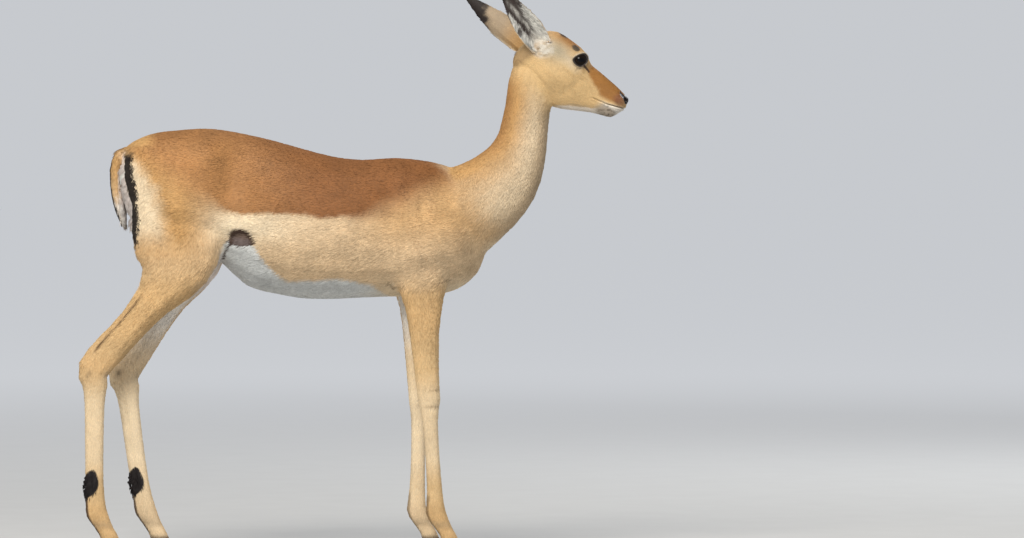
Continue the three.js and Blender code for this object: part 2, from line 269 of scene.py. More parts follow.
HEAD_DROP = math.radians(30)  # how far the nose points below the horizontal
NOSEWARD = np.array([math.cos(HEAD_DROP), 0, -math.sin(HEAD_DROP)])
CROWNWARD = np.array([math.sin(HEAD_DROP), 0, math.cos(HEAD_DROP)])
EYE_SINK = 2.4 * MM  # how much deeper than its solid the finer eye lies
EYES = {side: corner(f"eye_{side}", 0.5, 0.5, 0.5) - (0, EYE_SINK * SIDES[side], 0) for side in SIDES}
EYE_RADIUS = (corner("eye_right", 1, 1, 1) - corner("eye_right", 0, 0, 0))[2] / 2
BETWEEN_EYES = (EYES["right"] + EYES["left"]) / 2


def on_face(points):
    """Places in millimetres from between the eyes: towards the nose, outwards, towards the crown."""
    away = points - BETWEEN_EYES
    return np.stack([away @ NOSEWARD, np.abs(away[:, 1]), away @ CROWNWARD], 1) / MM


# ---------------------------------------------------------------- the skin

# How widely the skin's facets are smoothed away on each node, in millimetres.
SMOOTHING = {
    "trunk": 15, "neck": 11, "head": 4, "tail": 4, "ear_right": 1.2, "ear_left": 1.2,
    "fore_leg_right": 4.5, "fore_leg_left": 4.5, "hind_leg_right": 4.5, "hind_leg_left": 4.5,
}
THIGH_SMOOTHING = 12  # on a leg's upper end, where it swells into the trunk
LEG_TOP = (0.44, 0.56)  # the heights between which a leg becomes the thigh or upper arm
SEAM_SMOOTHING = 11  # where two nodes meet
EAR_SEAM_SMOOTHING = 7  # where an ear grows from the head
SMOOTH_LEVELS = 200  # how many strengths of smoothing are told apart
FEATURE_EDGE = 1.3 * MM  # the longest edge at the eyes, the mouth and the nose
GLAND_EDGE = 2.6 * MM  # the longest edge at the hind cannons' tufts


def smooth_modifiers(ob, widths):
    """Smooths the object's mesh over each vertex's width."""
    widest = widths.max()
    passes = math.ceil(2 * widest ** 2 / (0.5 * VOXEL ** 2))
    group = ob.vertex_groups.new(name="width")
    levels = np.round((widths / widest) ** 2 * SMOOTH_LEVELS).astype(int)
    for level in np.unique(levels):
        group.add(np.flatnonzero(levels == level).tolist(), level / SMOOTH_LEVELS, "REPLACE")
    with_modifiers(ob, ("SMOOTH", {"factor": 0.5, "iterations": passes, "vertex_group": "width"}))


def smoothed_places(ob, widths):
    """Where smoothing takes the vertices, after what it shrank is given back."""
    start = coordinates(ob.data)
    smooth_modifiers(ob, widths)
    smooth = coordinates(ob.data)
    set_coordinates(ob.data, start - smooth)
    smooth_modifiers(ob, widths)
    return smooth + coordinates(ob.data)


def smoothing_widths(points, joins, owner):
    """How widely to smooth at each point, in metres: least on the ears, most on the trunk and the seams."""
    leg, ear = (np.array([kind in name for name in FLESH])[owner] for kind in ("leg", "ear"))
    widths = np.array([SMOOTHING[name] for name in FLESH])[owner] * MM
    widths += smooth_step(*LEG_TOP, points[:, 2]) * leg * (THIGH_SMOOTHING * MM - widths)
    seam = np.zeros((len(points), 1))
    seam[joins[owner[joins[:, 0]] != owner[joins[:, 1]]].ravel()] = 1
    near_seam = np.clip(spread(seam, joins, 60)[:, 0] * 6, 0, 1)
    beside_ear = spread(ear[:, None].astype(float), joins, 40)[:, 0]
    seam_widths = SEAM_SMOOTHING + smooth_step(0, 0.1, beside_ear) * (EAR_SEAM_SMOOTHING - SEAM_SMOOTHING)
    widths = np.maximum(widths, near_seam * seam_widths * MM)
    return spread(widths[:, None], joins, 30)[:, 0]


def flesh_object():
    """The flesh and the eyes as one closed mesh of fine facets, smoothed, and still swollen."""
    ob = add_object("skin", swollen((*FLESH, "eye_right", "eye_left"), SWELL))
    with_modifiers(ob, ("REMESH", {"mode": "VOXEL", "voxel_size": VOXEL}))
    points = coordinates(ob.data)
    widths = smoothing_widths(points, edges(ob.data), nearest_node(points, FLESH))
    places = smoothed_places(ob, widths)
    set_coordinates(ob.data, places)
    share = SKIN_TRIANGLES / (2 * len(ob.data.polygons))
    with_modifiers(ob, ("TRIANGULATE", {}), ("DECIMATE", {"ratio": share}))
    return ob


def refine(ob, near, longest):
    """Splits the edges longer than that near a place, which near says of points, until none is left."""
    points, faces = coordinates(ob.data), triangles(ob.data).astype(np.int64)
    for _ in range(4):
        ends = np.sort(np.stack([faces, np.roll(faces, -1, axis=1)], axis=2), axis=2)
        keys, side = np.unique(ends[:, :, 0] * len(points) + ends[:, :, 1], return_inverse=True)
        first, second = points[keys // len(points)], points[keys % len(points)]
        middles = (first + second) / 2
        cut = near(middles) & (np.linalg.norm(first - second, axis=1) > longest)
        if not cut.any():
            break
        numbers = np.full(len(keys), -1)
        numbers[cut] = len(points) + np.arange(cut.sum())
        points = np.concatenate([points, middles[cut]])
        faces = split_faces(faces, numbers[side.reshape(-1, 3)])
    give_mesh(ob, mesh_of(ob.data.name, points, faces))


# How a triangle is cut with 0 to 3 of its sides split: its corners are 0 to 2, its sides' middles 3 to 5.
SPLITS = {
    0: [(0, 1, 2)],
    1: [(0, 3, 2), (3, 1, 2)],
    2: [(3, 1, 4), (0, 3, 4), (0, 4, 2)],
    3: [(0, 3, 5), (3, 1, 4), (5, 4, 2), (3, 4, 5)],
}


def split_faces(faces, middles):
    """The triangles after a split of each side that has a middle point, where -1 stands for none."""
    cut = middles >= 0
    count = cut.sum(1)
    start = np.where(count == 1, cut.argmax(1), np.where(count == 2, cut.argmin(1) + 1, 0))
    turn = (start[:, None] + np.arange(3)) % 3
    corners = np.concatenate([np.take_along_axis(row, turn, 1) for row in (faces, middles)], 1)
    return np.concatenate([
        corners[count == sides][:, [face]].reshape(-1, 3)
        for sides, pieces in SPLITS.items()
        for face in pieces
    ])


# The opening between an eye's lids, seen from the eye's middle.
OPENING = (0.90, 0.76)  # half its length and half its height, as angles
OPENING_HIGHEST = 0.28  # how far forward it is highest, as a share of half its length
OPENING_LEAN = 0.24  # how far its top lies forward of its bottom
OPENING_ROUND = 1.55  # from a diamond at 1 to an oval at 2
OUTSIDE = 9  # what is added to the measure of it far from the eye
LID_RADIUS = EYE_RADIUS + 1.0 * MM  # of the finer eye that the lids lie on
LID_COVER = 0.9 * MM  # how far at least the skin round the opening stands clear of it
LID_EDGE = 1.16  # how far the bare black lids reach, where the opening's edge is 1
SLIT_TILT = math.radians(27)
SLIT = math.cos(SLIT_TILT) * NOSEWARD + math.sin(SLIT_TILT) * CROWNWARD


def eye_axes(side):
    """The way an eye looks, the way its slit runs towards the nose, and the way up from the slit."""
    gaze = unit(0.2 * NOSEWARD + 0.08 * CROWNWARD + np.array([0, SIDES[side], 0]))
    slit = unit(SLIT - (SLIT @ gaze) * gaze)
    rise = np.cross(slit, gaze) * -SIDES[side]
    return gaze, slit, rise * np.sign(rise[2])


def from_opening(points, side):
    """How far points lie from the middle of an eye's opening, seen from the eye's middle: 1 at its edge."""
    gaze, slit, rise = eye_axes(side)
    away = unit(points - EYES[side])
    turn = np.arccos(np.clip(away @ gaze, -1, 1))
    flat = unit(away - np.outer(away @ gaze, gaze)) * turn[:, None]
    up = flat @ rise / OPENING[1]
    across = flat @ slit / OPENING[0] - OPENING_LEAN * up - OPENING_HIGHEST
    across /= 1 - OPENING_HIGHEST * np.sign(across)
    share = (np.abs(across) ** OPENING_ROUND + np.abs(up) ** OPENING_ROUND) ** (1 / OPENING_ROUND)
    return share + smooth_step(30 * MM, 60 * MM, np.linalg.norm(points - EYES[side], axis=1)) * OUTSIDE


def form_lids(points, side):
    """Points near an eye, moved to make the lids round its opening and the bed that the eye lies in."""
    away = points - EYES[side]
    radius = np.linalg.norm(away, axis=1)
    share = from_opening(points, side)
    above = smooth_step(-4, 6, away @ eye_axes(side)[2] / MM)
    rim = (1.5 + 1.3 * above) * smooth_step(0.97, 1.08, share) - 2.6 * smooth_step(1.02, 0.90, share)
    fold = bell(share, 1.20, 0.09) - 1.3 * bell(share, 1.46, 0.09)
    lid = LID_RADIUS + (rim + (0.4 + 0.6 * above) * fold) * MM
    raised = radius + smooth_step(2.0, 1.3, share) * (lid - radius)
    clear = raised - LID_RADIUS - LID_COVER
    covered = LID_RADIUS + LID_COVER + (clear + np.hypot(clear, 0.8 * MM)) / 2
    raised += smooth_step(1.02, 1.12, share) * (np.where(share < OUTSIDE, covered, raised) - raised)
    return points + (away / radius[:, None]) * (raised - radius)[:, None]


MOUTH = ((62, -54), (95, -49.5), (116, -44), (131, -39.5))  # from the corner forwards, on the face
NOSTRIL = np.array([[113, 18, -17], [119, 17, -20], [126, 12.5, -27]])
NOSTRIL_AXIS = np.array([0.45, 0.89, 0.0])  # the way the nostrils look
NOSTRIL_WIDTH, NOSTRIL_DEPTH = 3.8, 5.0  # in millimetres
WING_AT, WING_HEIGHT = (-3.5, 0, -6.0), 1.5  # the low wing behind a nostril, from it
# The bare leather between the nostrils, on the face: at these heights, half its width.
NOSE_PAD = ((-43, -4), (-40, 1.5), (-36, 4.5), (-31, 8), (-24, 16), (-14, 12), (-9, 4), (-6, 0))


def along_mouth(face):
    """How far the face's points lie above the line of the lips, and whether they lie beside it."""
    corner_at = MOUTH[0][0]
    return face[:, 2] - curve(MOUTH, face[:, 0]), smooth_step(corner_at - 4, corner_at + 4, face[:, 0])


def nostril_weight(face, width):
    """1 in the nostrils' slits, at whatever depth."""
    across = face - np.outer((face - NOSTRIL[1]) @ NOSTRIL_AXIS, NOSTRIL_AXIS)
    slit = NOSTRIL - np.outer((NOSTRIL - NOSTRIL[1]) @ NOSTRIL_AXIS, NOSTRIL_AXIS)
    near = [near_line(across, a, b, width) for a, b in zip(slit[:-1], slit[1:])]
    return np.max(near, axis=0) * smooth_step(5, 8, face[:, 1])


# Forms of the head, in millimetres on the face: where, how far they reach, and how high they stand.
FACE_MOUNDS = (
    ((131, 0, -30), (6, 2.2, 9), -1.5),  # the groove between the nostrils
    ((-2, 38, 21), (20, 12, 6), 2.6),  # the brow
    ((-32, 44, 10), (14, 14, 12), -1.8),  # the temple
    ((-6, 40, -54), (24, 20, 17), 2.2),  # the jaw's muscle
)
# Ridges and furrows of the head: from and to, how wide, and how high.
FACE_LINES = (
    ((-26, 44, -20), (34, 36, -24), 5, 2.2),  # the cheek bone
    ((-20, 44, -34), (24, 36, -36), 5, -1.6),  # below it
    ((20, 36, -44), (6, 30, -78), 5, -2.0),  # in front of the jaw's muscle
    ((18, 34, -8), (46, 26, -18), 4.5, -2.2),  # below the eye's inner corner
    ((40, 14, 2), (104, 12, -9), 5, 1.4),  # the nasal bones
    ((44, 24, -20), (96, 18, -30), 6, -1.2),  # beside them
    ((66, 24, -43), (112, 17, -34), 5, 1.0),  # the upper lip
    ((56, 30, -46), (64, 26, -60), 2.5, -1.3),  # the fold at the mouth's corner
)


def relief(points, mounds, lines):
    """How high mounds, ridges and hollows stand at each of the points."""
    lift = sum(height * mound(points, centre, reach) for centre, reach, height in mounds)
    return lift + sum(height * near_line(points, start, end, width) for start, end, width, height in lines)


def face_relief(face):
    """How far the head's skin stands out from its plain form, in millimetres."""
    above, beside = along_mouth(face)
    lips = 0.9 * bell(above, 3.4, 2.2) + 0.8 * bell(above, -3.2, 2.0) - 2.2 * bell(above, 0, 1.1)
    return lips * beside + relief(face, FACE_MOUNDS, FACE_LINES)


def press_nostrils(points, head):
    """The head's points with the nostrils pressed in sideways, and a low wing behind each."""
    face = on_face(points)
    depth = NOSTRIL_DEPTH * nostril_weight(face, NOSTRIL_WIDTH)
    depth -= WING_HEIGHT * nostril_weight(face - WING_AT, NOSTRIL_WIDTH)
    inwards = -NOSTRIL_AXIS[0] * NOSEWARD - np.outer(np.sign(points[:, 1]), (0, NOSTRIL_AXIS[1], 0))
    return points + inwards * (depth * head)[:, None] * MM


def leg_rows(points, members, height=6 * MM):
    """Where a leg's points lie from its back (0) to its front (1), and from inside (-1) to outside (1)."""
    row = np.floor(points[:, 2] / height).astype(int)
    count = row.max() + 2
    limits = np.full((4, count), np.nan)
    for k, column in enumerate((0, 1)):
        low, high = np.full(count, np.inf), np.full(count, -np.inf)
        np.minimum.at(low, row[members], points[members, column])
        np.maximum.at(high, row[members], points[members, column])
        limits[2 * k], limits[2 * k + 1] = low, high
    known = np.isfinite(limits[0]) & (limits[1] > limits[0])
    centres = (np.arange(count) + 0.5) * height
    back, front, right, left = (np.interp(points[:, 2], centres[known], line[known]) for line in limits)
    depth = (points[:, 0] - back) / (front - back)
    across = (2 * points[:, 1] - right - left) / (left - right)
    return depth, across


class Traits:
    """What the markings and the coat depend on, for each of some points of the skin."""

    def __init__(self, **arrays):
        self.__dict__.update(arrays)

    def mixed(self, corners, shares):
        """The traits at places inside triangles, from their corners and the corners' shares."""
        mix = {key: np.einsum("nk,nk...->n...", shares, value[corners]) for key, value in vars(self).items()}
        mix["normal"] = unit(mix["normal"])
        return Traits(**mix)

    def moved(self, shift):
        """The same traits, but for the place."""
        return Traits(**(vars(self) | {"place": self.place + shift}))


def traits_of(ob):
    """The traits of the skin's vertices, and the number in FLESH of the node that each belongs to."""
    points, joins = coordinates(ob.data), edges(ob.data)
    owner = nearest_node(points, FLESH)
    named = dict(zip(FLESH, spread(np.eye(len(FLESH))[owner], joins, 14).T))
    found = {"place": points, "normal": normals(ob.data)}
    found |= {name: named[name] for name in ("trunk", "neck", "head", "tail")}
    for short, name in (("ear", "ear"), ("fore", "fore_leg"), ("hind", "hind_leg")):
        found[short] = named[name + "_right"] + named[name + "_left"]
    found["leg_depth"] = np.full(len(points), 0.5)
    found["leg_across"] = np.zeros(len(points))
    for number, name in enumerate(FLESH):
        if "leg" in name:
            mine = (owner == number) & (points[:, 2] < LEG_TOP[1])
            depth, across = leg_rows(points, mine)
            found["leg_depth"][mine] = depth[mine]
            found["leg_across"][mine] = (across * SIDES[name.split("_")[-1]])[mine]
    found |= ear_traits(points, found["normal"], owner)
    eyes = [band(from_opening(points, side), 1.15, 1.4, 3, 6) for side in SIDES]
    rough = np.max([smooth_step(90, 110, on_face(points)[:, 0]), *eyes], axis=0) * found["head"]
    rough += near_glands(points) * found["hind"] + found["tail"]
    found["normal"] = unit(lay(found["normal"], spread(found["normal"], joins, 8), rough))
    return Traits(**found), owner


# The ears: an ear's root and tip are found on its solid.
EAR_FACING = {"right": (0.22, -0.95, 0.05), "left": (0.3, 0.95, 0.1)}  # the way the ears' hollows open
EAR_HALF = 30 * MM  # half an ear's width
EAR_FOOT_WIDTH = 42 * MM  # how far from the middle plane the ears' feet lie
EAR_FOOT = (0.83, 0.5, 0.10)  # the fluffy hair below an ear's hollow, as shares of the ear's box
EAR_FOOT_REACH = (26 * MM, 60 * MM, 22 * MM)


def ear_axis(side):
    """An ear's root and tip."""
    points = coordinates(NODES[f"ear_{side}"].data)
    away = np.linalg.norm(points - BETWEEN_EYES, axis=1)
    return points[away < np.quantile(away, 0.12)].mean(0), points[np.argmax(away)]


def ear_across(side):
    """The way across an ear, from its hind edge to its front edge."""
    root, tip = ear_axis(side)
    return unit(np.cross(tip - root, EAR_FACING[side])) * -SIDES[side]


def ear_traits(points, normal, owner):
    """How far along the ear points lie, from hind to front edge, and whether they lie in its hollow."""
    along, across, inside = np.zeros((3, len(points)))
    for side in SIDES:
        mine = owner == FLESH.index(f"ear_{side}")
        root, tip = ear_axis(side)
        way, facing = tip - root, unit(np.array(EAR_FACING[side]))
        along[mine] = (points[mine] - root) @ way / (way @ way)
        outward = points[mine] - (root + np.outer(along[mine], way))
        across[mine] = outward @ ear_across(side) / EAR_HALF
        hollow = np.einsum("nk,nk->n", unit(outward - 0.004 * facing), normal[mine])
        inside[mine] = smooth_step(0.1, -0.3, hollow) * smooth_step(-0.3, 0.2, normal[mine] @ facing)
    return {"ear_along": along, "ear_front": across, "ear_inside": inside}


# How deep the coat is over the skin, in millimetres.
COAT_DEPTH = {"trunk": 2.8, "neck": 2.4, "head": 1.0, "tail": 3.5, "ear": 0.6, "fore": 1.2, "hind": 1.2}
THIGH_DEPTH = 2.6
KNEE_CREASES = (0.352, 0.317)  # their heights
HEEL_LINE = ((0.43, 0.20), (0.52, 0.13))  # the groove before the heel's sinew: height, and depth in the leg


def coat_depth(t):
    """How deep the coat is at each of the points."""
    depth = sum(deep * getattr(t, name) for name, deep in COAT_DEPTH.items())
    depth += upper_leg(t) * (THIGH_DEPTH - COAT_DEPTH["fore"])
    return depth * MM


def upper_leg(t):
    return smooth_step(0.3, LEG_TOP[1], t.place[:, 2]) * (t.fore + t.hind)


TRUNK_LOW, TRUNK_HIGH = corner("trunk", 0, 0, 0), corner("trunk", 1, 1, 1)
SIDE_SIZE = (TRUNK_HIGH - TRUNK_LOW)[[0, 2]]  # how long and high the trunk's box is


def on_side(points):
    """Places on the body's side as shares of the trunk's box: from rump to chest, and from belly to back."""
    share = (points - TRUNK_LOW) / (TRUNK_HIGH - TRUNK_LOW)
    return share[:, 0], share[:, 2]


def by_side(x, y, z):
    """The point at these shares of the trunk's box, on the animal's right side."""
    return TRUNK_LOW + (TRUNK_HIGH - TRUNK_LOW) * (x, 0.5 - y / 2, z)


# Muscles, bones and hollows of the body: where, in shares of the trunk's box with 0 at its middle plane and
# 1 at its side, how far they reach along x, y and z, and how high they stand, in millimetres.
BODY_MOUNDS = (
    ((0.245, 0.70, 0.86), (30, 30, 22), 3.0),  # the hip bone
    ((0.06, 0.50, 0.86), (18, 24, 26), 2.5),  # beside the tail's root
    ((0.13, 0.85, 0.50), (45, 50, 70), 3.0),  # the haunch
    ((0.75, 0.75, 0.80), (16, 40, 60), 2.2),  # the spine of the shoulder blade
    ((0.71, 0.80, 0.45), (34, 50, 40), 3.5),  # the upper arm's muscle
    ((0.86, 0.70, 0.40), (26, 40, 30), 2.5),  # the point of the shoulder
    ((0.63, 0.90, 0.30), (16, 50, 46), -3.5),  # behind the upper arm
    ((0.29, 0.90, 0.70), (20, 50, 44), -4.5),  # the flank's hollow
    ((0.80, 0.80, 0.55), (13, 50, 45), -2.5),  # in front of the upper arm
    ((0.70, 0.85, 0.20), (22, 40, 24), 2.5),  # the elbow's muscle
    ((0.316, 0.80, 0.372), (20, 50, 13), -8.0),  # the groin
)
# Ridges and creases: from and to as above, and how wide and how high, in millimetres.
BODY_LINES = (
    ((0.290, 0.80, 0.37), (0.262, 0.90, 0.24), 6, -5.0),  # in front of the thigh
    ((0.690, 0.72, 0.10), (0.735, 0.80, 0.06), 4, -4.5),  # at the elbow
    ((0.81, 0.72, 0.09), (0.86, 0.62, 0.115), 3.5, -3.0),  # in front of the upper arm
    ((0.741, 0.62, 0.66), (0.785, 0.85, 0.28), 13, 3.0),  # the shoulder blade's spine and the upper arm
    ((0.04, 0.90, 0.10), (0.11, 0.80, 0.62), 8, -2.0),  # between the thigh's muscles
    ((0.12, 0.90, 0.62), (0.20, 0.95, 0.20), 14, 2.0),  # the front of the haunch
)


def body_relief(t):
    """How far the body's and legs' skin stands out from its plain form, in millimetres."""
    right = np.where(t.place[:, 1:2] > 0, t.place * (1, -1, 1), t.place)
    mounds = [(by_side(*at), np.array(reach) * MM, height) for at, reach, height in BODY_MOUNDS]
    lines = [(by_side(*start), by_side(*end), width * MM, height) for start, end, width, height in BODY_LINES]
    return relief(right, mounds, lines)


def heel_groove(t):
    """1 in the groove in front of the heel's sinew, above the hock."""
    z = t.place[:, 2]
    groove = bell(t.leg_depth, curve(HEEL_LINE, z), 0.035) * band(z, 0.42, 0.44, 0.52, 0.56)
    return groove * smooth_step(0.1, 0.5, np.abs(t.leg_across)) * t.hind


def knee_creases(t):
    """1 in the creases across the front of the knee."""
    lines = [bell(t.place[:, 2], height, 2.8 * MM) for height in KNEE_CREASES]
    return np.max(lines, axis=0) * t.fore * smooth_step(0.15, 0.6, t.leg_depth)


def leg_relief(t):
    """How far the sinews and bones of the lower legs stand out, in millimetres."""
    z, deep, beside = t.place[:, 2], t.leg_depth, np.abs(t.leg_across)
    both = t.fore + t.hind
    sinews = bell(deep, 0.36, 0.10) * smooth_step(0.3, 0.9, beside) * band(z, 0.115, 0.15, 0.30, 0.36)
    shin = bell(deep, 0.62, 0.14) * band(z, 0.44, 0.48, 0.52, 0.58) * smooth_step(0.2, 0.8, beside)
    ankle = spot(deep, z, (0.55, 0.385), (0.25, 0.016))
    knee = spot(deep, z, (0.8, 0.335), (0.35, 0.014))
    above_fetlock = smooth_step(0.3, 0.0, deep) * bell(z, 0.095, 0.014)
    below_fetlock = smooth_step(0.4, 0.9, beside) * bell(z, 0.068, 0.008)
    lift = both * (1.6 * above_fetlock - 1.0 * below_fetlock - 1.3 * sinews)
    lift += t.hind * (2.0 * shin + 1.5 * ankle) - 4.5 * heel_groove(t)
    return lift + 1.2 * knee * t.fore - 1.6 * knee_creases(t)


def skin_object():
    """The finished skin, its traits and the node that each of its vertices belongs to."""
    ob = flesh_object()
    refine(ob, near_features, FEATURE_EDGE)
    refine(ob, near_glands, GLAND_EDGE)
    points = coordinates(ob.data)
    even_out(ob, near_features(points) | near_glands(points), 6)
    t, _ = traits_of(ob)
    shift = -(SWELL + coat_depth(t)) + (body_relief(t) + leg_relief(t)) * MM
    points = t.place + t.normal * shift[:, None]
    draw_in_ears(points, t)
    set_coordinates(ob.data, points)
    facing = normals(ob.data)
    lift = face_relief(on_face(points)) * MM * t.head
    points = press_nostrils(points + facing * lift[:, None], t.head)
    nose = t.head * smooth_step(20, 12, np.linalg.norm(on_face(points) - NOSTRIL[1], axis=1))
    points = lay(points, spread(points, edges(ob.data), 5), nose)
    for side in SIDES:
        points = form_lids(points, side)
    set_coordinates(ob.data, points)
    for _ in range(6):
        even_out(ob, folded(ob), 3)
    return (ob, *traits_of(ob))


def draw_in_ears(points, t):
    """Moves the points at the ears' feet in towards the head."""
    foot = t.ear * smooth_step(0.24, 0.02, t.ear_along)
    outside = np.maximum(np.abs(points[:, 1]) - EAR_FOOT_WIDTH, 0)
    points[:, 1] -= 0.85 * foot * outside * np.sign(points[:, 1])


def even_out(ob, chosen, passes):
    """Moves the chosen points, and a little those beside them, towards their neighbours."""
    points, joins = coordinates(ob.data), edges(ob.data)
    weight = np.minimum(2 * spread(chosen.astype(float)[:, None], joins, 2), 1)
    set_coordinates(ob.data, points + weight * (spread(points, joins, passes) - points))


def agreement(places, faces, facing):
    """How far each face looks the way that its corners face: 1 wholly, -1 the other way."""
    a, b, c = (places[faces[:, k]] for k in range(3))
    return (unit(np.cross(b - a, c - a)) * unit(facing[faces].mean(1))).sum(1)


def folded(ob):
    """Whether each point is the corner of a face that lies folded over its neighbours."""
    points, faces = coordinates(ob.data), triangles(ob.data)
    facing = unit(spread(normals(ob.data), edges(ob.data), 3))
    found = np.zeros(len(points), dtype=bool)
    found[faces[agreement(points, faces, facing) <= 0].ravel()] = True
    return found


def near_features(points):
    """Whether points lie near an eye, a nostril or the mouth."""
    from_eyes = np.min([np.linalg.norm(points - EYES[side], axis=1) for side in SIDES], axis=0)
    face = on_face(points)
    mouth = (np.abs(along_mouth(face)[0]) < 6) & (face[:, 0] > MOUTH[0][0] - 8)
    nose = (face[:, 0] > 102) & (face[:, 2] > -52)
    return (from_eyes < 29 * MM) | mouth | nose


def near_glands(points):
    """Whether points lie at the height of the black tufts on the hind cannons."""
    return (np.abs(points[:, 2] - GLAND[0]) < 1.25 * GLAND[1]) & (points[:, 0] < 0)


# ---------------------------------------------------------------- markings

# The saddle's colours at the rump and at the withers: the withers' is darker partly in its own colour and
# partly with painted shade.
SADDLE_HIND = (0.43, 0.210, 0.072)
SADDLE_FORE_AND_SHADE = (0.25, 0.094, 0.024)
BACK_LINE = (0.19, 0.080, 0.030)
TAN = (0.57, 0.335, 0.130)
SAND = (0.66, 0.485, 0.295)
LEG_SAND = (0.66, 0.46, 0.235)
CREAM = (0.83, 0.70, 0.50)
WHITE = (0.86, 0.84, 0.80)
# The belly's white, greyed with painted shade.
BELLY_WHITE_SHADED = (0.64, 0.65, 0.63)
PINK_WHITE = (0.84, 0.74, 0.68)
ORANGE = (0.46, 0.235, 0.075)
RUFOUS = (0.33, 0.138, 0.026)
FACE_TAN = (0.64, 0.44, 0.21)
FACE_GREY = (0.40, 0.34, 0.235)
NOSE_SKIN = (0.20, 0.075, 0.040)
GREY_TAN = (0.36, 0.28, 0.19)
# A dark tan used only for painted shade: in grooves and creases, and for the ear's shadow.
SHADE_TAN = (0.16, 0.092, 0.045)
CREAM_GREY = (0.62, 0.55, 0.43)
UMBER = (0.055, 0.030, 0.020)
BLACK = (0.014, 0.010, 0.010)
# Bare skin, darkened partly with painted shade.
HIDE_IN_SHADE = (0.080, 0.044, 0.036)
EAR_SKIN = (0.050, 0.036, 0.032)
EAR_HAIR = (0.80, 0.78, 0.71)

# On the side of the trunk: the bare skin in the groin, by the middle of its lower edge, darkened partly with
# painted shade, and the creases at the elbow and in front of the upper arm, darkened with painted shade.
GROIN = (0.306, 0.325)
GROIN_REACH = (0.033, 0.085)
CREASE_SHADES = (((0.695, 0.108), (0.708, 0.06)), ((0.706, 0.068), (0.738, 0.08)), ((0.815, 0.09), (0.86, 0.118)))

DARKEST_AND_PALEST = (0.004, 0.9)

# The upper edge of the white under the jaw, on the face: how far towards the nose, and towards the crown.
JAW_WHITE = ((-40, -130), (0, -107), (30, -91), (70, -74), (90, -60))

# The lower edge of the rufous on the nose, on the face.
BRIDGE_EDGE = ((12, -6), (30, -15), (45, -25), (74, -40), (95, -41), (118, -36))

# The saddle's lower edge and the white belly's upper edge along the side.
SADDLE_EDGE = (
    (0.0, 0.95), (0.04, 0.86), (0.12, 0.74), (0.20, 0.61), (0.27, 0.525), (0.33, 0.505), (0.46, 0.498),
    (0.54, 0.485), (0.63, 0.49), (0.70, 0.53), (0.78, 0.61), (0.86, 0.69), (0.93, 0.78), (1.0, 0.90),
)
BELLY_EDGE = (
    (0.0, 0.30), (0.25, 0.28), (0.285, 0.36), (0.33, 0.365), (0.345, 0.325), (0.359, 0.264),
    (0.384, 0.193), (0.410, 0.136), (0.435, 0.108), (0.563, 0.122), (0.652, 0.093), (0.697, 0.022),
    (0.75, -0.02), (1.0, -0.1),
)
# The black stripes beside the tail: at heights of the trunk, their place along it, how far from the middle
# plane their middles lie, and half their width, in millimetres.
STRIPE = (
    (0.30, 0.036, 71, 2.5), (0.40, 0.032, 70, 6.5), (0.50, 0.026, 66, 11.0), (0.60, 0.022, 56, 13.0),
    (0.70, 0.017, 47, 14.0), (0.84, 0.011, 36, 13.0),
)
RUMP_BAND = ((0.25, 66), (0.45, 64), (0.65, 50), (0.78, 26), (0.86, 4))  # the cream band: height, width in mm
GLAND = (0.159, 0.029)  # how high the middle of the black tuft on a hind cannon is, and half its length


def from_stripe(t):
    """How far in front of and outside the rump's black stripe points lie, and half its width, in mm."""
    x, z = on_side(t.place)
    heights, places, middles, halves = np.array(STRIPE).T
    ahead = (x - np.interp(z, heights, places)) * SIDE_SIZE[0] / MM
    outwards = np.abs(t.place[:, 1]) / MM - np.interp(z, heights, middles)
    return ahead, outwards, np.interp(z, heights, halves)


def facing_out(t):
    """How far the skin looks away from the middle plane: 1 outwards, -1 inwards."""
    return t.normal[:, 1] * np.sign(t.place[:, 1])


def stripe_weight(t):
    """1 on the black stripe beside the tail."""
    ahead, outwards, half = from_stripe(t)
    beside = band(on_side(t.place)[1], 0.28, 0.36, 0.84, 0.87) * smooth_step(30, 24, ahead) * (1 - t.tail)
    frayed = 3.2 * ripple(t.place, 4 * MM) * (outwards > 0)
    return smooth_step(half + 1.5, half - 1.5, np.abs(outwards) + frayed) * beside


def between_stripes(t):
    """1 behind the tail, between the rump's stripes."""
    _, outwards, half = from_stripe(t)
    x, z = on_side(t.place)
    height = band(z, 0.0, 0.1, 0.83, 0.88)
    return smooth_step(0, -4, outwards + half) * height * smooth_step(0.28, 0.22, x) * (1 - t.tail)


def gland_weight(t):
    """1 on the black tufts low on the hind legs."""
    middle, half = GLAND
    up = (t.place[:, 2] - middle) / half
    reach = 0.56 * np.sqrt(np.clip(1 - up ** 2, 0, 1)) * (1 - 0.35 * smooth_step(-0.2, 1, up))
    away = np.abs(t.leg_depth - 0.20 - 0.22 * up)
    return smooth_step(reach + 0.05, reach - 0.03, away) * (np.abs(up) < 1) * t.hind


def ear_root_weight(t):
    """1 on the head and the ear below an ear's hollow, where the hair is fluffy."""
    feet = [corner(f"ear_{side}", *EAR_FOOT) for side in SIDES]
    near = np.max([mound(t.place, foot, EAR_FOOT_REACH) for foot in feet], axis=0)
    return smooth_step(0.2, 0.6, near) * smooth_step(0.1, 0.6, facing_out(t)) * (t.head + t.ear)


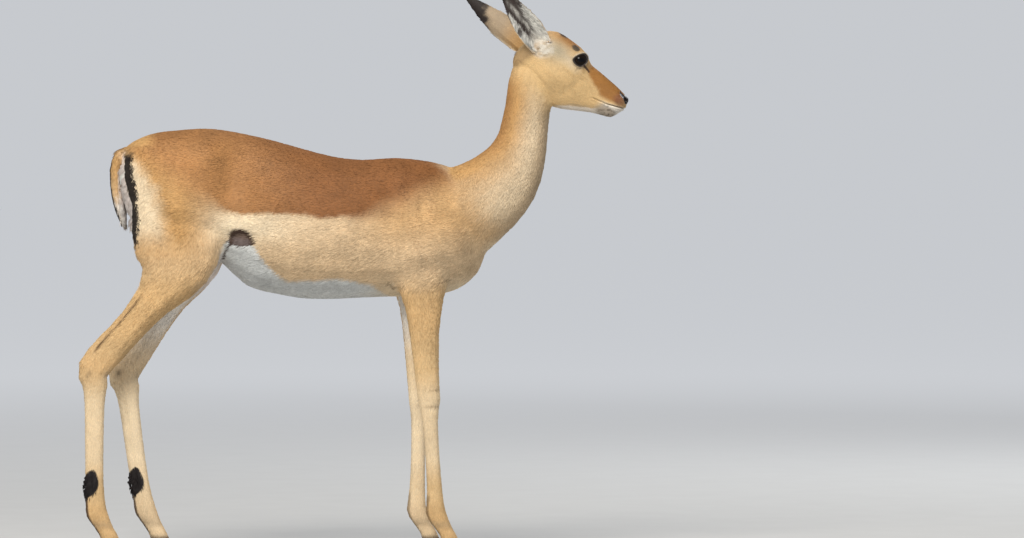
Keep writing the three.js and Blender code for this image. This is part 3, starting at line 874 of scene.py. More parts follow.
def trunk_colours(t):
    """The saddle, darker towards the withers partly with painted shade, the pale flank and the white belly,
    greyed with painted shade.
    """
    x, z = on_side(t.place)
    wander = 0.012 * ripple(t.place, 60 * MM) + 0.006 * ripple(t.place, 18 * MM)
    edge = curve(SADDLE_EDGE, x) + wander
    soft = 0.018 + 0.11 * smooth_step(0.30, 0.18, x) + 0.10 * smooth_step(0.55, 0.75, x)
    # Darker towards the withers, partly with painted shade.
    saddle = lay(SADDLE_HIND, SADDLE_FORE_AND_SHADE, smooth_step(0.2, 0.55, x))
    belly = curve(BELLY_EDGE, x) + 0.5 * wander
    within = np.maximum(smooth_step(0.1, 0.6, -facing_out(t)), smooth_step(0.245, 0.275, x))
    down = -t.normal[:, 2]
    under = np.maximum(within, smooth_step(0.3, 0.7, down) * smooth_step(0.15, 0.2, x))
    return painted(
        SAND,
        (CREAM, 0.95 * spot(x, z, (0.31, 0.43), (0.15, 0.10))),
        (TAN, smooth_step(0.28, 0.15, x) * smooth_step(0.1, 0.4, z)),
        (TAN, 0.7 * smooth_step(0.56, 0.74, x) * smooth_step(0.22, 0.50, z)),
        (saddle, 0.96 * smooth_step(-1, 1, (z - edge) / soft)),
        (BACK_LINE, 0.55 * smooth_step(0.35, 0.98, -down) * smooth_step(0.5, 0.8, z)),
        # The white belly, greyed with painted shade.
        (BELLY_WHITE_SHADED, smooth_step(0.014, -0.014, z - belly) * under),
        (CREAM, smooth_step(0.4, 0.9, down) * smooth_step(0.6, 0.75, x) * 0.7),
    )


def rump_colours(t, base):
    """The cream band, the black stripe and the white between the stripes."""
    ahead, _, _ = from_stripe(t)
    x, z = on_side(t.place)
    body = 1 - t.tail
    wide = curve(RUMP_BAND, z) + 6 * ripple(t.place, 25 * MM)
    return painted(
        base,
        (CREAM, 0.85 * smooth_step(wide + 24, wide - 20, ahead) * band(z, 0.26, 0.46, 0.78, 0.90) * body),
        (PINK_WHITE, 0.9 * between_stripes(t)),
        (TAN, smooth_step(0.86, 0.92, z) * smooth_step(0.1, 0.05, x) * body),
        (BLACK, 0.97 * stripe_weight(t)),
    )


def neck_colours(t):
    forward = t.normal[:, 0] - 0.25 * t.normal[:, 2]
    return painted(
        np.array(TAN) * 0.95,
        (np.array(SAND) * 0.9, smooth_step(-0.5, 0.2, forward + 0.1 * ripple(t.place, 60 * MM))),
        (CREAM, 0.5 * bell(forward, 0.35, 0.3)),
        (GREY_TAN, 0.45 * smooth_step(0.5, 0.95, forward)),
        # The back of the neck, in the withers' saddle colour with its painted shade.
        (SADDLE_FORE_AND_SHADE, 0.5 * smooth_step(-0.3, -0.9, forward)),
    )


def leg_colours(t):
    z, deep = t.place[:, 2], t.leg_depth
    inward = smooth_step(-0.1, 0.7, -facing_out(t))
    seam = smooth_step(0.16, 0.07, deep) * band(z, 0.045, 0.06, 0.130, 0.140)
    return painted(
        LEG_SAND,
        (TAN, 0.4 * smooth_step(0.40, 0.50, z) * (1 - inward)),
        (CREAM, 0.55 * band(z, 0.15, 0.22, 0.32, 0.40)),  # the cannons
        (ORANGE, 0.22 * bell(z, 0.40, 0.035) * t.hind),  # the hocks
        (TAN, 0.4 * smooth_step(0.14, 0.10, z)),
        (WHITE, 0.8 * inward * smooth_step(0.38, 0.50, z)),
        (CREAM, 0.5 * inward * smooth_step(0.50, 0.38, z)),
        # Painted shade in the groove before the heel's sinew and in the knee's creases.
        (SHADE_TAN, np.maximum(0.9 * heel_groove(t), 0.5 * knee_creases(t))),
        # Painted shade at the hock: a spot behind it and a line in front.
        (UMBER, 0.6 * spot(deep, z, (0.30, 0.384), (0.08, 0.007)) * t.hind),
        (GREY_TAN, 0.5 * spot(deep, z, (0.9, 0.380), (0.12, 0.016)) * t.hind),
        (UMBER, 0.9 * seam * (0.55 + 0.45 * t.hind)),  # down the back of the foot
        (UMBER, 0.75 * smooth_step(0.050, 0.042, z)),  # above the hooves
        (GREY_TAN, 0.3 * bell(z, 0.075, 0.008)),
        (BLACK, gland_weight(t)),
    )


def tail_colours(t):
    low = (TRUNK_HIGH[2] - t.place[:, 2]) / MM
    half = 4 + 0.05 * low + 2 * ripple(t.place, 8 * MM)
    line = smooth_step(half + 2, half - 2, np.abs(t.place[:, 1]) / MM)
    line *= smooth_step(0.0, -0.35, t.normal[:, 0])
    return painted(
        TAN,
        (SAND, 0.6 * smooth_step(60, 140, low)),
        (PINK_WHITE, 0.9 * smooth_step(0.55, 0.85, t.normal[:, 0] + 0.1 * ripple(t.place, 9 * MM))),
        (WHITE, 0.7 * smooth_step(125, 155, low + 12 * ripple(t.place, 5 * MM))),
        (BLACK, 0.97 * line * smooth_step(15, 40, low)),
    )


def hollow_colours(t):
    """The dark hollow of an ear with its pale hair."""
    e = t.ear_along
    ragged = t.ear_front + 0.10 * ripple(t.place, 16 * MM)
    pale = np.max([
        smooth_step(-0.62, -0.78, ragged) * smooth_step(0.85, 0.7, e),  # along the hind edge
        bell(ragged, -0.18, 0.16) * smooth_step(0.85, 0.5, e) * 0.75,  # a strand down the middle
        smooth_step(-0.15, 0.25, ragged - 0.7 * (e - 0.2)) * smooth_step(0.78, 0.45, e),  # low in front
        smooth_step(0.22, 0.05, e),  # at the root
    ], axis=0) * (1 - 0.8 * smooth_step(0.70, 0.84, ragged))
    bare = smooth_step(0.25, 0.7, ripple(t.place * (1, 1, 0.5), 13 * MM)) * smooth_step(0.12, 0.3, e)
    hair = 0.95 * pale * (1 - 0.85 * bare) * (0.85 + 0.3 * ripple(t.place, 4 * MM))
    return painted(EAR_SKIN, (EAR_HAIR, hair), (BLACK, 0.9 * smooth_step(0.70, 0.84, e)))


def ear_colours(t):
    e, front, inside = t.ear_along, t.ear_front, t.ear_inside
    tip = smooth_step(0.52, 0.66, e - 0.12 * front + 0.05 * ripple(t.place, 12 * MM))
    rim = 4 * inside * (1 - inside) * smooth_step(0.15, 0.35, e) * smooth_step(0.3, 0.8, np.abs(front))
    return painted(
        np.array(TAN) * 0.9,
        (GREY_TAN, 0.95 * smooth_step(0.0, 0.40, e)),
        (CREAM, 0.7 * smooth_step(0.75, 0.95, -front) * smooth_step(0.6, 0.4, e)),
        (BLACK, 0.97 * tip),
        (hollow_colours(t), inside),
        (UMBER, 0.8 * rim),
    )


def face_colours(t):
    face = on_face(t.place)
    u, y, v = face.T
    above, beside = along_mouth(face)
    bridge = smooth_step(-5, 5, v - curve(BRIDGE_EDGE, u) + 2 * ripple(t.place, 14 * MM))
    bridge *= smooth_step(12, 34, u)
    under = v - curve(JAW_WHITE, u) + 1.5 * ripple(t.place, 10 * MM)
    speckle = smooth_step(0.0, 0.6, ripple(t.place, 5 * MM)) * mound(face, (102, 12, -62), (18, 20, 14))
    # Where the ear's shadow falls on the nape.
    ear_shadow = near_line(face * (1, 0, 1), (-115, 0, -66), (-96, 0, -20), 17)
    return painted(
        FACE_TAN,
        (SAND, 0.6 * smooth_step(-10, -50, u) * smooth_step(-30, 0, v)),
        (TAN, 0.8 * mound(face, (-52, 20, 18), (34, 30, 26))),
        (ORANGE, 0.85 * mound(face, (-38, 16, 26), (30, 28, 17))),
        (RUFOUS, 0.85 * mound(face, (-32, 14, 24), (28, 26, 15))),  # the crown
        (RUFOUS, 0.92 * bridge * smooth_step(126, 108, u)),
        (UMBER, 0.5 * bridge * smooth_step(9, 3, y) * smooth_step(20, 60, u)),
        (CREAM, 0.7 * smooth_step(5, 1, above) * beside * smooth_step(70, 90, u)),  # the upper lip
        # Painted shade along the lower edge of the cheek, above the white under the jaw.
        (GREY_TAN, 0.55 * bell(under, 2.5, 2.5) * smooth_step(14, 34, u) * (1 - beside * 0.5)),
        (WHITE, 0.6 * smooth_step(1.5, -1.5, under) * smooth_step(-5, 20, u)),  # under the jaw
        (WHITE, 0.7 * smooth_step(-0.5, -3, above) * smooth_step(82, 94, u)),  # the lower lip
        (GREY_TAN, 0.8 * smooth_step(0.2, 0.7, mound(face, (100, 12, -66), (26, 30, 15)))),  # the chin
        (UMBER, 0.85 * np.clip(speckle, 0, 1)),
        (BLACK, 0.85 * smooth_step(0.35, 0.7, mound(face, (-53, 0, 30), (14, 27, 14)))),  # on the crown
        (BLACK, 0.90 * smooth_step(0.35, 0.6, mound(face, (-18, 32, 20), (11, 20, 10)))),  # on the brow
        (NOSE_SKIN, 0.7 * smooth_step(0.1, 0.8, mound(face, (113, 17, -30), (15, 18, 15)))),
        (FACE_GREY, 0.95 * spot(u, v, (-48, -6), (36, 24)) * smooth_step(14, 38, y)),  # behind the eye
        # Painted shadow of the ear on the nape.
        (SHADE_TAN, 0.55 * smooth_step(0.1, 0.8, ear_shadow)),
        (UMBER, 0.8 * smooth_step(0.5, 0.9, mound(face, (-31, 44, -12), (3.5, 12, 3.5)))),
    )


def lids_weight(points, side):
    """1 on the bare lids of one eye."""
    return smooth_step(LID_EDGE + 0.05, LID_EDGE - 0.05, from_opening(points, side))


def eye_ring(t, base):
    """The pale ring round each eye, the dark lids, and the dark line from its inner corner."""
    face = on_face(t.place) * (1, 0, 1)
    for side in SIDES:
        share = from_opening(t.place, side) + 0.08 * ripple(t.place, 9 * MM)
        pale = 0.45 + 0.25 * smooth_step(2, 12, (t.place - EYES[side])[:, 0] / MM)
        ring = pale * smooth_step(1.9, 1.25, share) * t.head
        base = painted(base, (CREAM_GREY, ring), (BLACK, 0.98 * lids_weight(t.place, side)))
    tear = near_line(face, (13, 0, -5), (29, 0, -11), 3)
    crease = near_line(face, (-4, 0, -21), (12, 0, -14), 1.5)
    return painted(
        base,
        (UMBER, 0.5 * smooth_step(0.3, 0.9, crease) * t.head),
        (UMBER, 0.9 * smooth_step(0.35, 0.8, tear) * t.head),
    )


def nose_weight(t):
    """1 on the nose's bare leather, between and round the nostrils."""
    face = on_face(t.place)
    half = curve(NOSE_PAD, face[:, 2])
    pad = smooth_step(half + 1, half - 1, face[:, 1]) * smooth_step(115, 119, face[:, 0])
    return np.maximum(pad, smooth_step(0.30, 0.60, nostril_weight(face, 5.0))) * t.head


def lips_weight(t):
    """1 on the line of the lips."""
    face = on_face(t.place)
    above, beside = along_mouth(face)
    return smooth_step(1.5, 0.6, np.abs(above)) * beside * t.head * smooth_step(56, 112, face[:, 0])


def bare_weight(t):
    """1 where no hair grows: on the nose, the lips and the lids."""
    lids = [lids_weight(t.place, side) for side in SIDES]
    return np.max([nose_weight(t), lips_weight(t), *lids], axis=0)


def groin_shade_colours(t, base):
    """The bare skin above the belly's hind end, darkened partly with painted shade, with painted shade along
    its upper edge and in the fold below it.
    """
    side = np.stack(on_side(t.place), 1)
    flesh = (t.trunk + t.hind) * smooth_step(0.2, 0.6, np.abs(t.normal[:, 1]))
    x, z = ((side - GROIN) / GROIN_REACH).T
    share = np.hypot(x - 0.25 * (1 - z), np.maximum(z, 0)) + 2 * smooth_step(0.0, -0.25, z)
    fold = near_line(side, (0.287, 0.345), (0.262, 0.24), 0.006)
    return painted(
        base,
        (HIDE_IN_SHADE, 0.92 * smooth_step(1.08, 0.92, share) * flesh),
        # Painted shade along the recess's upper edge.
        (UMBER, 0.9 * band(share, 0.62, 0.85, 1.0, 1.15) * flesh),
        # Painted shade in the fold below it.
        (UMBER, 0.85 * smooth_step(0.3, 0.9, fold) * flesh),
    )


def crease_shade_colours(t, base):
    """The creases at the elbow and in front of the upper arm, darkened with painted shade."""
    side = np.stack(on_side(t.place), 1) * SIDE_SIZE
    flesh = (t.trunk + t.fore) * smooth_step(0.3, 0.7, np.abs(t.normal[:, 1]))
    for start, end in CREASE_SHADES:
        line = near_line(side, start * SIDE_SIZE, end * SIDE_SIZE, 1.8 * MM)
        # Painted shade in each crease.
        base = lay(base, SHADE_TAN, 0.6 * smooth_step(0.2, 0.9, line) * flesh)
    return base


def markings(t):
    """The coat's colour at each of the points."""
    upper = smooth_step(0.54, 0.66, t.place[:, 2])[:, None]
    body = trunk_colours(t)
    shares = (
        (t.trunk, body), (t.neck, neck_colours(t)), (t.head, face_colours(t)), (t.tail, tail_colours(t)),
        (t.ear, ear_colours(t)), (t.fore + t.hind, (1 - upper) * leg_colours(t) + upper * body),
    )
    colour = rump_colours(t, sum(share[:, None] * part for share, part in shares))
    fluff = ear_root_weight(t) * (0.4 + 0.6 * smooth_step(-0.6, 0.3, ripple(t.place, 9 * MM)))
    colour = eye_ring(t, lay(colour, EAR_HAIR, 0.75 * fluff))
    colour = crease_shade_colours(t, groin_shade_colours(t, colour))
    colour = lay(colour, BLACK, np.maximum(nose_weight(t), 0.9 * lips_weight(t)))
    return np.clip(colour * (1 + 0.05 * ripple(t.place, 35 * MM))[:, None], *DARKEST_AND_PALEST)


# ---------------------------------------------------------------- the coat

def lie(t):
    """The way the coat lies at each of the points, along the skin."""
    down = np.array([0, 0, -1.0])
    x, z = on_side(t.place)
    side = np.sign(t.place[:, 1:2])
    body = np.array([-1.0, 0, -0.30]) + np.outer(smooth_step(0.12, 0.0, x), (0.6, 0, -1.2))
    body += np.outer(smooth_step(0.45, 0.15, z) * 0.25, down)
    body += np.outer(smooth_step(0.85, 1.0, x), (0.4, 0, -0.9))
    face = -NOSEWARD - 0.25 * CROWNWARD + side * (0, 0.15, 0)
    face = lay(face, -CROWNWARD - 0.3 * NOSEWARD, smooth_step(100, 120, on_face(t.place)[:, 0]))
    hock = band(t.place[:, 2], 0.40, 0.46, 0.58, 0.66) * t.hind
    leg = down + np.outer(hock, (-0.8, 0, 0))
    dock = np.outer(smooth_step(0.2, 0.7, t.normal[:, 2]), (-1.0, 0, 0))  # over the tail's root
    way = t.trunk[:, None] * body + np.outer(t.neck, (-0.35, 0, -1.0)) + t.head[:, None] * face
    way += (t.fore + t.hind)[:, None] * leg + t.tail[:, None] * (down + dock + (0.1, 0, 0))
    for name in SIDES:
        root, tip = ear_axis(name)
        mine = t.ear * (side[:, 0] * SIDES[name] > 0)
        curl = -0.9 * t.ear_front * t.ear_inside
        way += mine[:, None] * (unit(tip - root) + curl[:, None] * ear_across(name))
        near_eye = smooth_step(2.6, 1.2, from_opening(t.place, name)) * t.head
        way += 1.5 * near_eye[:, None] * unit(t.place - EYES[name])
    way = lay(way, (1.0, 0, -0.35), 0.9 * stripe_weight(t))
    above_end = t.place[:, 2] - corner("tail", 0, 0, 0)[2]
    hanging = t.tail * np.maximum(smooth_step(0.4, 0.8, -t.normal[:, 2]), smooth_step(12, 4, above_end / MM))
    way = way - (1 - hanging[:, None]) * (way * t.normal).sum(1, keepdims=True) * t.normal
    return unit(way)


def behind_weight(t):
    """1 on the long pale hair between the tail and the rump."""
    rump = between_stripes(t) * band(on_side(t.place)[1], 0.40, 0.50, 0.78, 0.86)
    return np.maximum(rump, t.tail * smooth_step(0.5, 0.9, t.normal[:, 0]))


# Length and width of the tufts, in millimetres.
TUFT = {
    "trunk": (13, 1.5), "neck": (11.5, 1.3), "head": (5.2, 0.85), "tail": (16, 1.3),
    "ear": (4.5, 0.75), "fore": (6.0, 0.95), "hind": (6.5, 0.95),
}
THIGH_TUFT, GLAND_TUFT, STRIPE_TUFT = (11, 1.4), (10, 1.5), (12, 1.1)
EAR_TUFT, EAR_FOOT_TUFT, BEHIND_TUFT = (12, 1.0), (10, 0.9), (26, 1.5)
GLAND_FULL = (9, 9, 0.8 * GLAND[1])  # the reach of the glands' highest hair: by height alone, near enough
TUFT_LENGTHS = (0.75, 1.25)  # between which shares of their length the tufts vary
TUFT_TURN = 0.13  # how widely they turn aside
TUFT_TONE = 0.07  # how widely they vary in colour


def tuft_sizes(t):
    """The tufts' length, width and height over the skin at each of the points."""
    size = sum(getattr(t, name)[:, None] * np.array(TUFT[name]) for name in TUFT)
    size += upper_leg(t)[:, None] * np.subtract(THIGH_TUFT, TUFT["fore"])
    noseward = on_face(t.place)[:, 0]
    muzzle = 0.35 * smooth_step(20, 100, noseward) + 0.25 * smooth_step(100, 116, noseward)
    near_eye = np.min([from_opening(t.place, side) for side in SIDES], axis=0)
    size *= (1 - muzzle * t.head)[:, None]
    size *= (1 - 0.5 * smooth_step(2.4, 1.3, near_eye) * t.head)[:, None]
    gland, stripe, behind, root = gland_weight(t), stripe_weight(t), behind_weight(t), ear_root_weight(t)
    in_ear = t.ear_inside * t.ear
    size = painted(
        size,
        (GLAND_TUFT, gland),
        (STRIPE_TUFT, stripe),
        (EAR_TUFT, in_ear * smooth_step(0.9, 0.6, t.ear_along)),
        (EAR_FOOT_TUFT, root),
        (BEHIND_TUFT, behind * (1 - t.tail)),
    )
    size *= (1 - 0.65 * t.tail * smooth_step(0.1, 0.6, -t.normal[:, 2]))[:, None]
    full = mound(t.place, (0, 0, GLAND[0]), GLAND_FULL)
    rise = coat_depth(t) / MM + 7.5 * gland * full + 2.0 * stripe + 14.0 * behind * (1 - 0.5 * t.tail)
    rise += 2.5 * in_ear * smooth_step(0.8, 0.5, t.ear_along) + 2.5 * root
    return size[:, 0] * MM, size[:, 1] * MM, rise * MM


# A tuft's five points: its root, three corners round its middle, and its tip.
TUFT_FACES = np.array([[0, 3, 1], [0, 2, 3], [4, 1, 3], [4, 3, 2], [0, 1, 2], [4, 2, 1]])
TUFT_TOPS = 4  # of those faces, the first ones look away from the skin
TUFT_SHADES = np.array([0.92, 0.98, 0.98, 1.02, 1.05])  # how light each point is
TUFT_PATCH = np.array([[0, -0.5], [-0.5, 0], [0.5, 0], [0.12, 0], [0, 0.5]])  # where they lie on the map
PATCH = 0.003  # how large a tuft is on the map


def tuft_arrays(t, colour, length, width, rise):
    """Thin closed tufts, each of a root, three corners round its middle and a tip, as points and colours."""
    way = lie(t)
    turn = rng.normal(0, TUFT_TURN, (len(length), 1)) + 0.12 * ripple(t.place, 30 * MM)[:, None]
    way = unit(way + turn * np.cross(t.normal, way))
    side = unit(np.cross(t.normal, way) + (0, 0.001, 0))
    length, width, rise = length[:, None], width[:, None], rise[:, None]
    middle = t.place + way * length * 0.42 + t.normal * rise * 0.18
    points = np.stack([
        t.place - t.normal * 0.5 * MM,
        middle + side * width / 2,
        middle - side * width / 2,
        middle + t.normal * (rise * 0.4 + width * 0.2),
        t.place + way * length + t.normal * rise * 0.55,
    ], 1)
    up = t.normal
    facing = unit(np.stack([up - 0.2 * way, up + 0.5 * side, up - 0.5 * side, up, up + 0.2 * way], 1))
    colours = np.clip(colour[:, None, :] * TUFT_SHADES[:, None], 0, 0.92)
    return points.reshape(-1, 3), facing, colours.reshape(-1, 3)


def rolled_out(points, axis, rows=48):
    """Places on the skin rolled flat round an axis: how far along and how far round, from 0 to 1."""
    axis = unit(np.array(axis, dtype=float))
    along = points @ axis
    share = (along - along.min()) / np.ptp(along)
    row = np.minimum((share * rows).astype(int), rows - 1)
    counts = np.maximum(np.bincount(row, minlength=rows), 1)
    centres = np.stack([np.bincount(row, points[:, k], rows) / counts for k in range(3)], 1)
    filled = np.unique(row)
    centre = np.stack([np.interp(share, (filled + 0.5) / rows, centres[filled, k]) for k in range(3)], 1)
    across = unit(np.cross(axis, (0, 1, 0.02)))
    away = points - centre
    around = np.arctan2(away @ np.cross(axis, across), away @ across) / (2 * math.pi) + 0.5
    return np.stack([share, around], 1)


def columns(flat, column, count):
    """Several flat parts side by side on one map."""
    return np.stack([flat[:, 0], (column + 0.04 + 0.92 * flat[:, 1]) / count], 1)


def paint(mesh, name, colours):
    layer = mesh.attributes.new(name, "FLOAT_COLOR", "POINT")
    rgba = np.ones((len(colours), 4), dtype=np.float32)
    rgba[:, :3] = colours
    layer.data.foreach_set("color", rgba.ravel())


def coat_piece(name, t, flat):
    """One piece of the coat: a tuft at each of the points of t, which are at flat on the map."""
    length, width, rise = tuft_sizes(t)
    count = len(length)
    # A tuft has the colour of the skin under its middle, and in the sharpest marks that of its root.
    sharp = np.max([gland_weight(t), stripe_weight(t), t.tail, behind_weight(t)], axis=0)
    middle = lie(t) * (0.45 * length * (1 - sharp))[:, None]
    colour = markings(t.moved(middle)) * (1 + rng.normal(0, TUFT_TONE, (count, 1)))
    length = length * rng.uniform(*TUFT_LENGTHS, count)
    rise = rise * (0.45 + 1.1 * rng.random(count) ** 2)
    points, facing, colours = tuft_arrays(t, colour, length, width, rise)
    faces = (np.arange(count)[:, None, None] * 5 + TUFT_FACES).reshape(-1, 3)
    mesh = mesh_of(name, points, faces)
    shading = facing[:, TUFT_FACES]
    shading[:, TUFT_TOPS:] = -t.normal[:, None, None, :]
    mesh.normals_split_custom_set(shading.reshape(-1, 3))
    paint(mesh, "markings", colours)
    places = (0.01 + 0.98 * flat[:, None, :] + PATCH * TUFT_PATCH).reshape(-1, 2)
    layer = mesh.uv_layers.new(name="OFBake")
    layer.data.foreach_set("uv", places[faces.ravel()].astype(np.float32).ravel())
    ob = add_object(name, mesh)
    mesh.materials.append(COAT)
    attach(ob, "root")
    return ob


def scatter(t, faces, mine, density, count):
    """Traits at that many places spread over some of the faces, denser where density is higher."""
    corners = faces[mine]
    a, b, c = (t.place[corners[:, k]] for k in range(3))
    area = np.linalg.norm(np.cross(b - a, c - a), axis=1) * density[corners].mean(1)
    total = np.cumsum(area)
    steps = (np.arange(count) + rng.random(count)) / count * total[-1]
    chosen = np.minimum(np.searchsorted(total, steps), len(corners) - 1)
    r, s = np.sqrt(rng.random(count)), rng.random(count)
    shares = np.stack([1 - r, r * (1 - s), r * s], 1)
    return t.mixed(corners[chosen], shares)


HAIR_END = 36 * MM  # how high above the ground the hair ends, at the hooves
COAT_COUNTS = {  # how many tufts each piece has
    "trunk_fore_right": 29_000, "trunk_fore_left": 29_000,
    "trunk_hind_right": 29_000, "trunk_hind_left": 29_000,
    "neck": 25_000, "head": 31_000, "ears": 16_000, "fore_legs": 24_000, "hind_legs": 31_000, "tail": 5_000,
}


def coat_density(t):
    """How closely the tufts stand: more where they are small, none on bare skin and below the hair's end."""
    length, width, _ = tuft_sizes(t)
    return smooth_step(0.4, 0.05, bare_weight(t)) * (t.place[:, 2] > HAIR_END) / (length * width)


def piece_of(owner, middles):
    """The coat piece that each face belongs to."""
    names = np.array(FLESH)[owner]
    half = np.where(middles[:, 0] > (TRUNK_LOW + TRUNK_HIGH)[0] / 2, "fore", "hind")
    side = np.where(middles[:, 1] < 0, "right", "left")
    trunk = np.char.add(np.char.add("trunk_", half), np.char.add("_", side))
    piece = np.where(names == "trunk", trunk, names)
    for part in ("ear", "fore_leg", "hind_leg"):
        piece = np.where(np.char.startswith(names.astype(str), part), part + "s", piece)
    return piece


def flat_places(name, t):
    """Where a coat piece's roots lie on its map, which is the skin rolled out flat."""
    left = (t.place[:, 1] > 0).astype(int)
    if name.startswith("trunk"):
        flat = rolled_out(t.place * (1, 0, 1) + np.abs(t.place) * (0, 1, 0), (1, 0, 0))
        turn = np.arctan2(np.abs(t.place[:, 1]), t.place[:, 2] - (TRUNK_LOW + TRUNK_HIGH)[2] / 2) / math.pi
        return np.stack([flat[:, 0], turn], 1)
    if name == "neck":
        return rolled_out(t.place, (0.45, 0, 0.9))
    if name == "head":
        return rolled_out(t.place, NOSEWARD)
    if name == "tail":
        return rolled_out(t.place, (0, 0, 1))
    flat = np.zeros((len(left), 2))
    if name == "ears":
        column = 2 * left + (t.ear_inside > 0.5)
        for k in range(4):
            mine = column == k
            root, tip = ear_axis("left" if k > 1 else "right")
            if mine.any():
                flat[mine] = rolled_out(t.place[mine], tip - root)
        return columns(flat, column, 4)
    for k in (0, 1):
        flat[left == k] = rolled_out(t.place[left == k], (0, 0, 1))
    return columns(flat, left, 2)


def coat(ob, t, owner):
    """The coat over the whole skin, piece by piece."""
    faces = triangles(ob.data)
    even = agreement(t.place, faces, t.normal) > 0.5
    pieces = piece_of(owner[faces[:, 0]], t.place[faces].mean(1))
    density = coat_density(t)
    for name, count in COAT_COUNTS.items():
        roots = scatter(t, faces, (pieces == name) & even, density, int(count * TUFT_SHARE))
        coat_piece(f"coat_{name}", roots, flat_places(name, roots))


# ---------------------------------------------------------------- materials

class Nodes:
    """A material's nodes, made and joined in one call each."""

    def __init__(self, name):
        self.material = bpy.data.materials.new(name)
        self.material.use_nodes = True
        self.tree = self.material.node_tree
        self.surface = self.tree.nodes["Principled BSDF"]

    def add(self, kind, settings=(), **inputs):
        node = self.tree.nodes.new("ShaderNode" + kind)
        for key, value in dict(settings).items():
            setattr(node, key, value)
        for key, value in inputs.items():
            self.put(node, key.replace("_", " "), value)
        return node

    def put(self, node, key, value):
        socket = node.inputs[int(key[1:])] if key[0] == "n" and key[1:].isdigit() else node.inputs[key]
        if isinstance(value, bpy.types.NodeSocket):
            self.tree.links.new(value, socket)
        else:
            socket.default_value = value

    def finish(self, **inputs):
        for key, value in inputs.items():
            self.put(self.surface, key.replace("_", " "), value)
        return self.material

    def place(self):
        return self.add("TexCoord").outputs["Object"]

    def attribute(self, name, output="Fac"):
        return self.add("Attribute", {"attribute_name": name}).outputs[output]

    def noise(self, place, scale, detail):
        return self.add("TexNoise", Vector=place, Scale=scale, Detail=detail).outputs["Fac"]

    def vector(self, operation, place, output="Vector", **inputs):
        return self.add("VectorMath", {"operation": operation}, n0=place, **inputs).outputs[output]

    def squeezed(self, place, by):
        return self.vector("MULTIPLY", place, n1=by)

    def ranged(self, value, low, high, first, last, **settings):
        """The value from low to high turned into one from first to last."""
        return self.add("MapRange", settings, Value=value, n1=low, n2=high, n3=first, n4=last).outputs[0]

    def mixed(self, share, first, second):
        """Two values mixed: all of the first at 0."""
        return self.add("Mix", {"data_type": "FLOAT"}, n0=share, n2=first, n3=second).outputs[0]

    def blended(self, share, first, second):
        """Two colours mixed: all of the first at 0."""
        first, second = ((*c, 1) if isinstance(c, tuple) else c for c in (first, second))
        return self.add("Mix", {"data_type": "RGBA"}, n0=share, n6=first, n7=second).outputs[2]

    def bumpy(self, height, strength, distance):
        return self.add("Bump", Height=height, Strength=strength, Distance=distance).outputs[0]


def coat_material():
    """Short hair: the markings, a little varied from tuft to tuft, with a soft sheen."""
    n = Nodes("coat")
    place = n.place()
    grain = n.noise(place, 420.0, 2.0)
    level = n.add("Math", {"operation": "ADD"}, n0=grain, n1=n.noise(place, 26.0, 3.0)).outputs[0]
    level = n.ranged(level, 0.6, 1.4, 0.80, 1.16)
    varied = n.vector("SCALE", n.attribute("markings", "Color"), Scale=level)
    rough = n.ranged(grain, 0.3, 0.7, 0.52, 0.68)
    return n.finish(Base_Color=varied, Roughness=rough, Specular_IOR_Level=0.25)


def skin_material():
    """The skin under the coat: the same markings, a fine nap along the body or down the legs, and pores."""
    n = Nodes("skin")
    place, bare = n.place(), n.attribute("bare")
    lying, hanging = (n.noise(n.squeezed(place, by), 900.0, 3.0) for by in ((0.12, 1, 1), (1, 1, 0.12)))
    nap = n.mixed(n.attribute("upright"), lying, hanging)
    cells = n.add("TexVoronoi", {"feature": "DISTANCE_TO_EDGE"}, Vector=place, Scale=700.0).outputs[0]
    height = n.mixed(bare, nap, n.ranged(cells, 0.0, 0.5, 0.45, 0.65))
    bump = n.bumpy(height, 0.7, 0.0006)
    varied = n.vector("SCALE", n.attribute("markings", "Color"), Scale=n.ranged(nap, 0.3, 0.7, 0.78, 1.02))
    rough = n.ranged(bare, 0.0, 1.0, 0.62, 0.38)
    return n.finish(Base_Color=varied, Roughness=rough, Normal=bump, Specular_IOR_Level=0.3)


COAT = coat_material()


def dress_skin(ob, t):
    """Gives the skin its markings and material."""
    mesh = ob.data
    paint(mesh, "markings", markings(t))
    for name, values in (("upright", 1 - t.trunk), ("bare", bare_weight(t))):
        layer = mesh.attributes.new(name, "FLOAT", "POINT")
        layer.data.foreach_set("value", values.astype(np.float32))
    mesh.materials.append(skin_material())
    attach(ob, "root")
    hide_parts(*FLESH)


# ---------------------------------------------------------------- eyes

def eye_material():
    """A wet dark eye: a level black pupil in a deep brown iris, under a clear coat."""
    n = Nodes("eye")
    place = n.attribute("on_eye", "Vector")
    pupil = n.vector("LENGTH", n.squeezed(place, (1.0, 1.9, 0.0)), "Value")
    flat = n.squeezed(place, (1.0, 1.0, 0.0))
    radius = n.vector("LENGTH", flat, "Value")
    rays = n.noise(n.vector("NORMALIZE", flat), 9.0, 4.0)
    iris = n.blended(rays, (0.003, 0.002, 0.001), (0.010, 0.005, 0.003))
    ring = n.blended(n.ranged(radius, 0.62, 0.80, 0.0, 1.0), iris, (0.004, 0.003, 0.003))
    colour = n.blended(n.ranged(pupil, 0.42, 0.50, 1.0, 0.0), ring, (0.002, 0.002, 0.003))
    return n.finish(
        Base_Color=colour, Roughness=0.3, Specular_IOR_Level=0.0,
        Coat_Weight=0.6, Coat_Roughness=0.02, Coat_IOR=1.28,
    )


EYE_TURNS, EYE_RINGS = 48, 32
EYE_FRONT, EYE_BACK = 0.035, 0.10  # how far an eye's clear front stands out and its back lies in, as shares


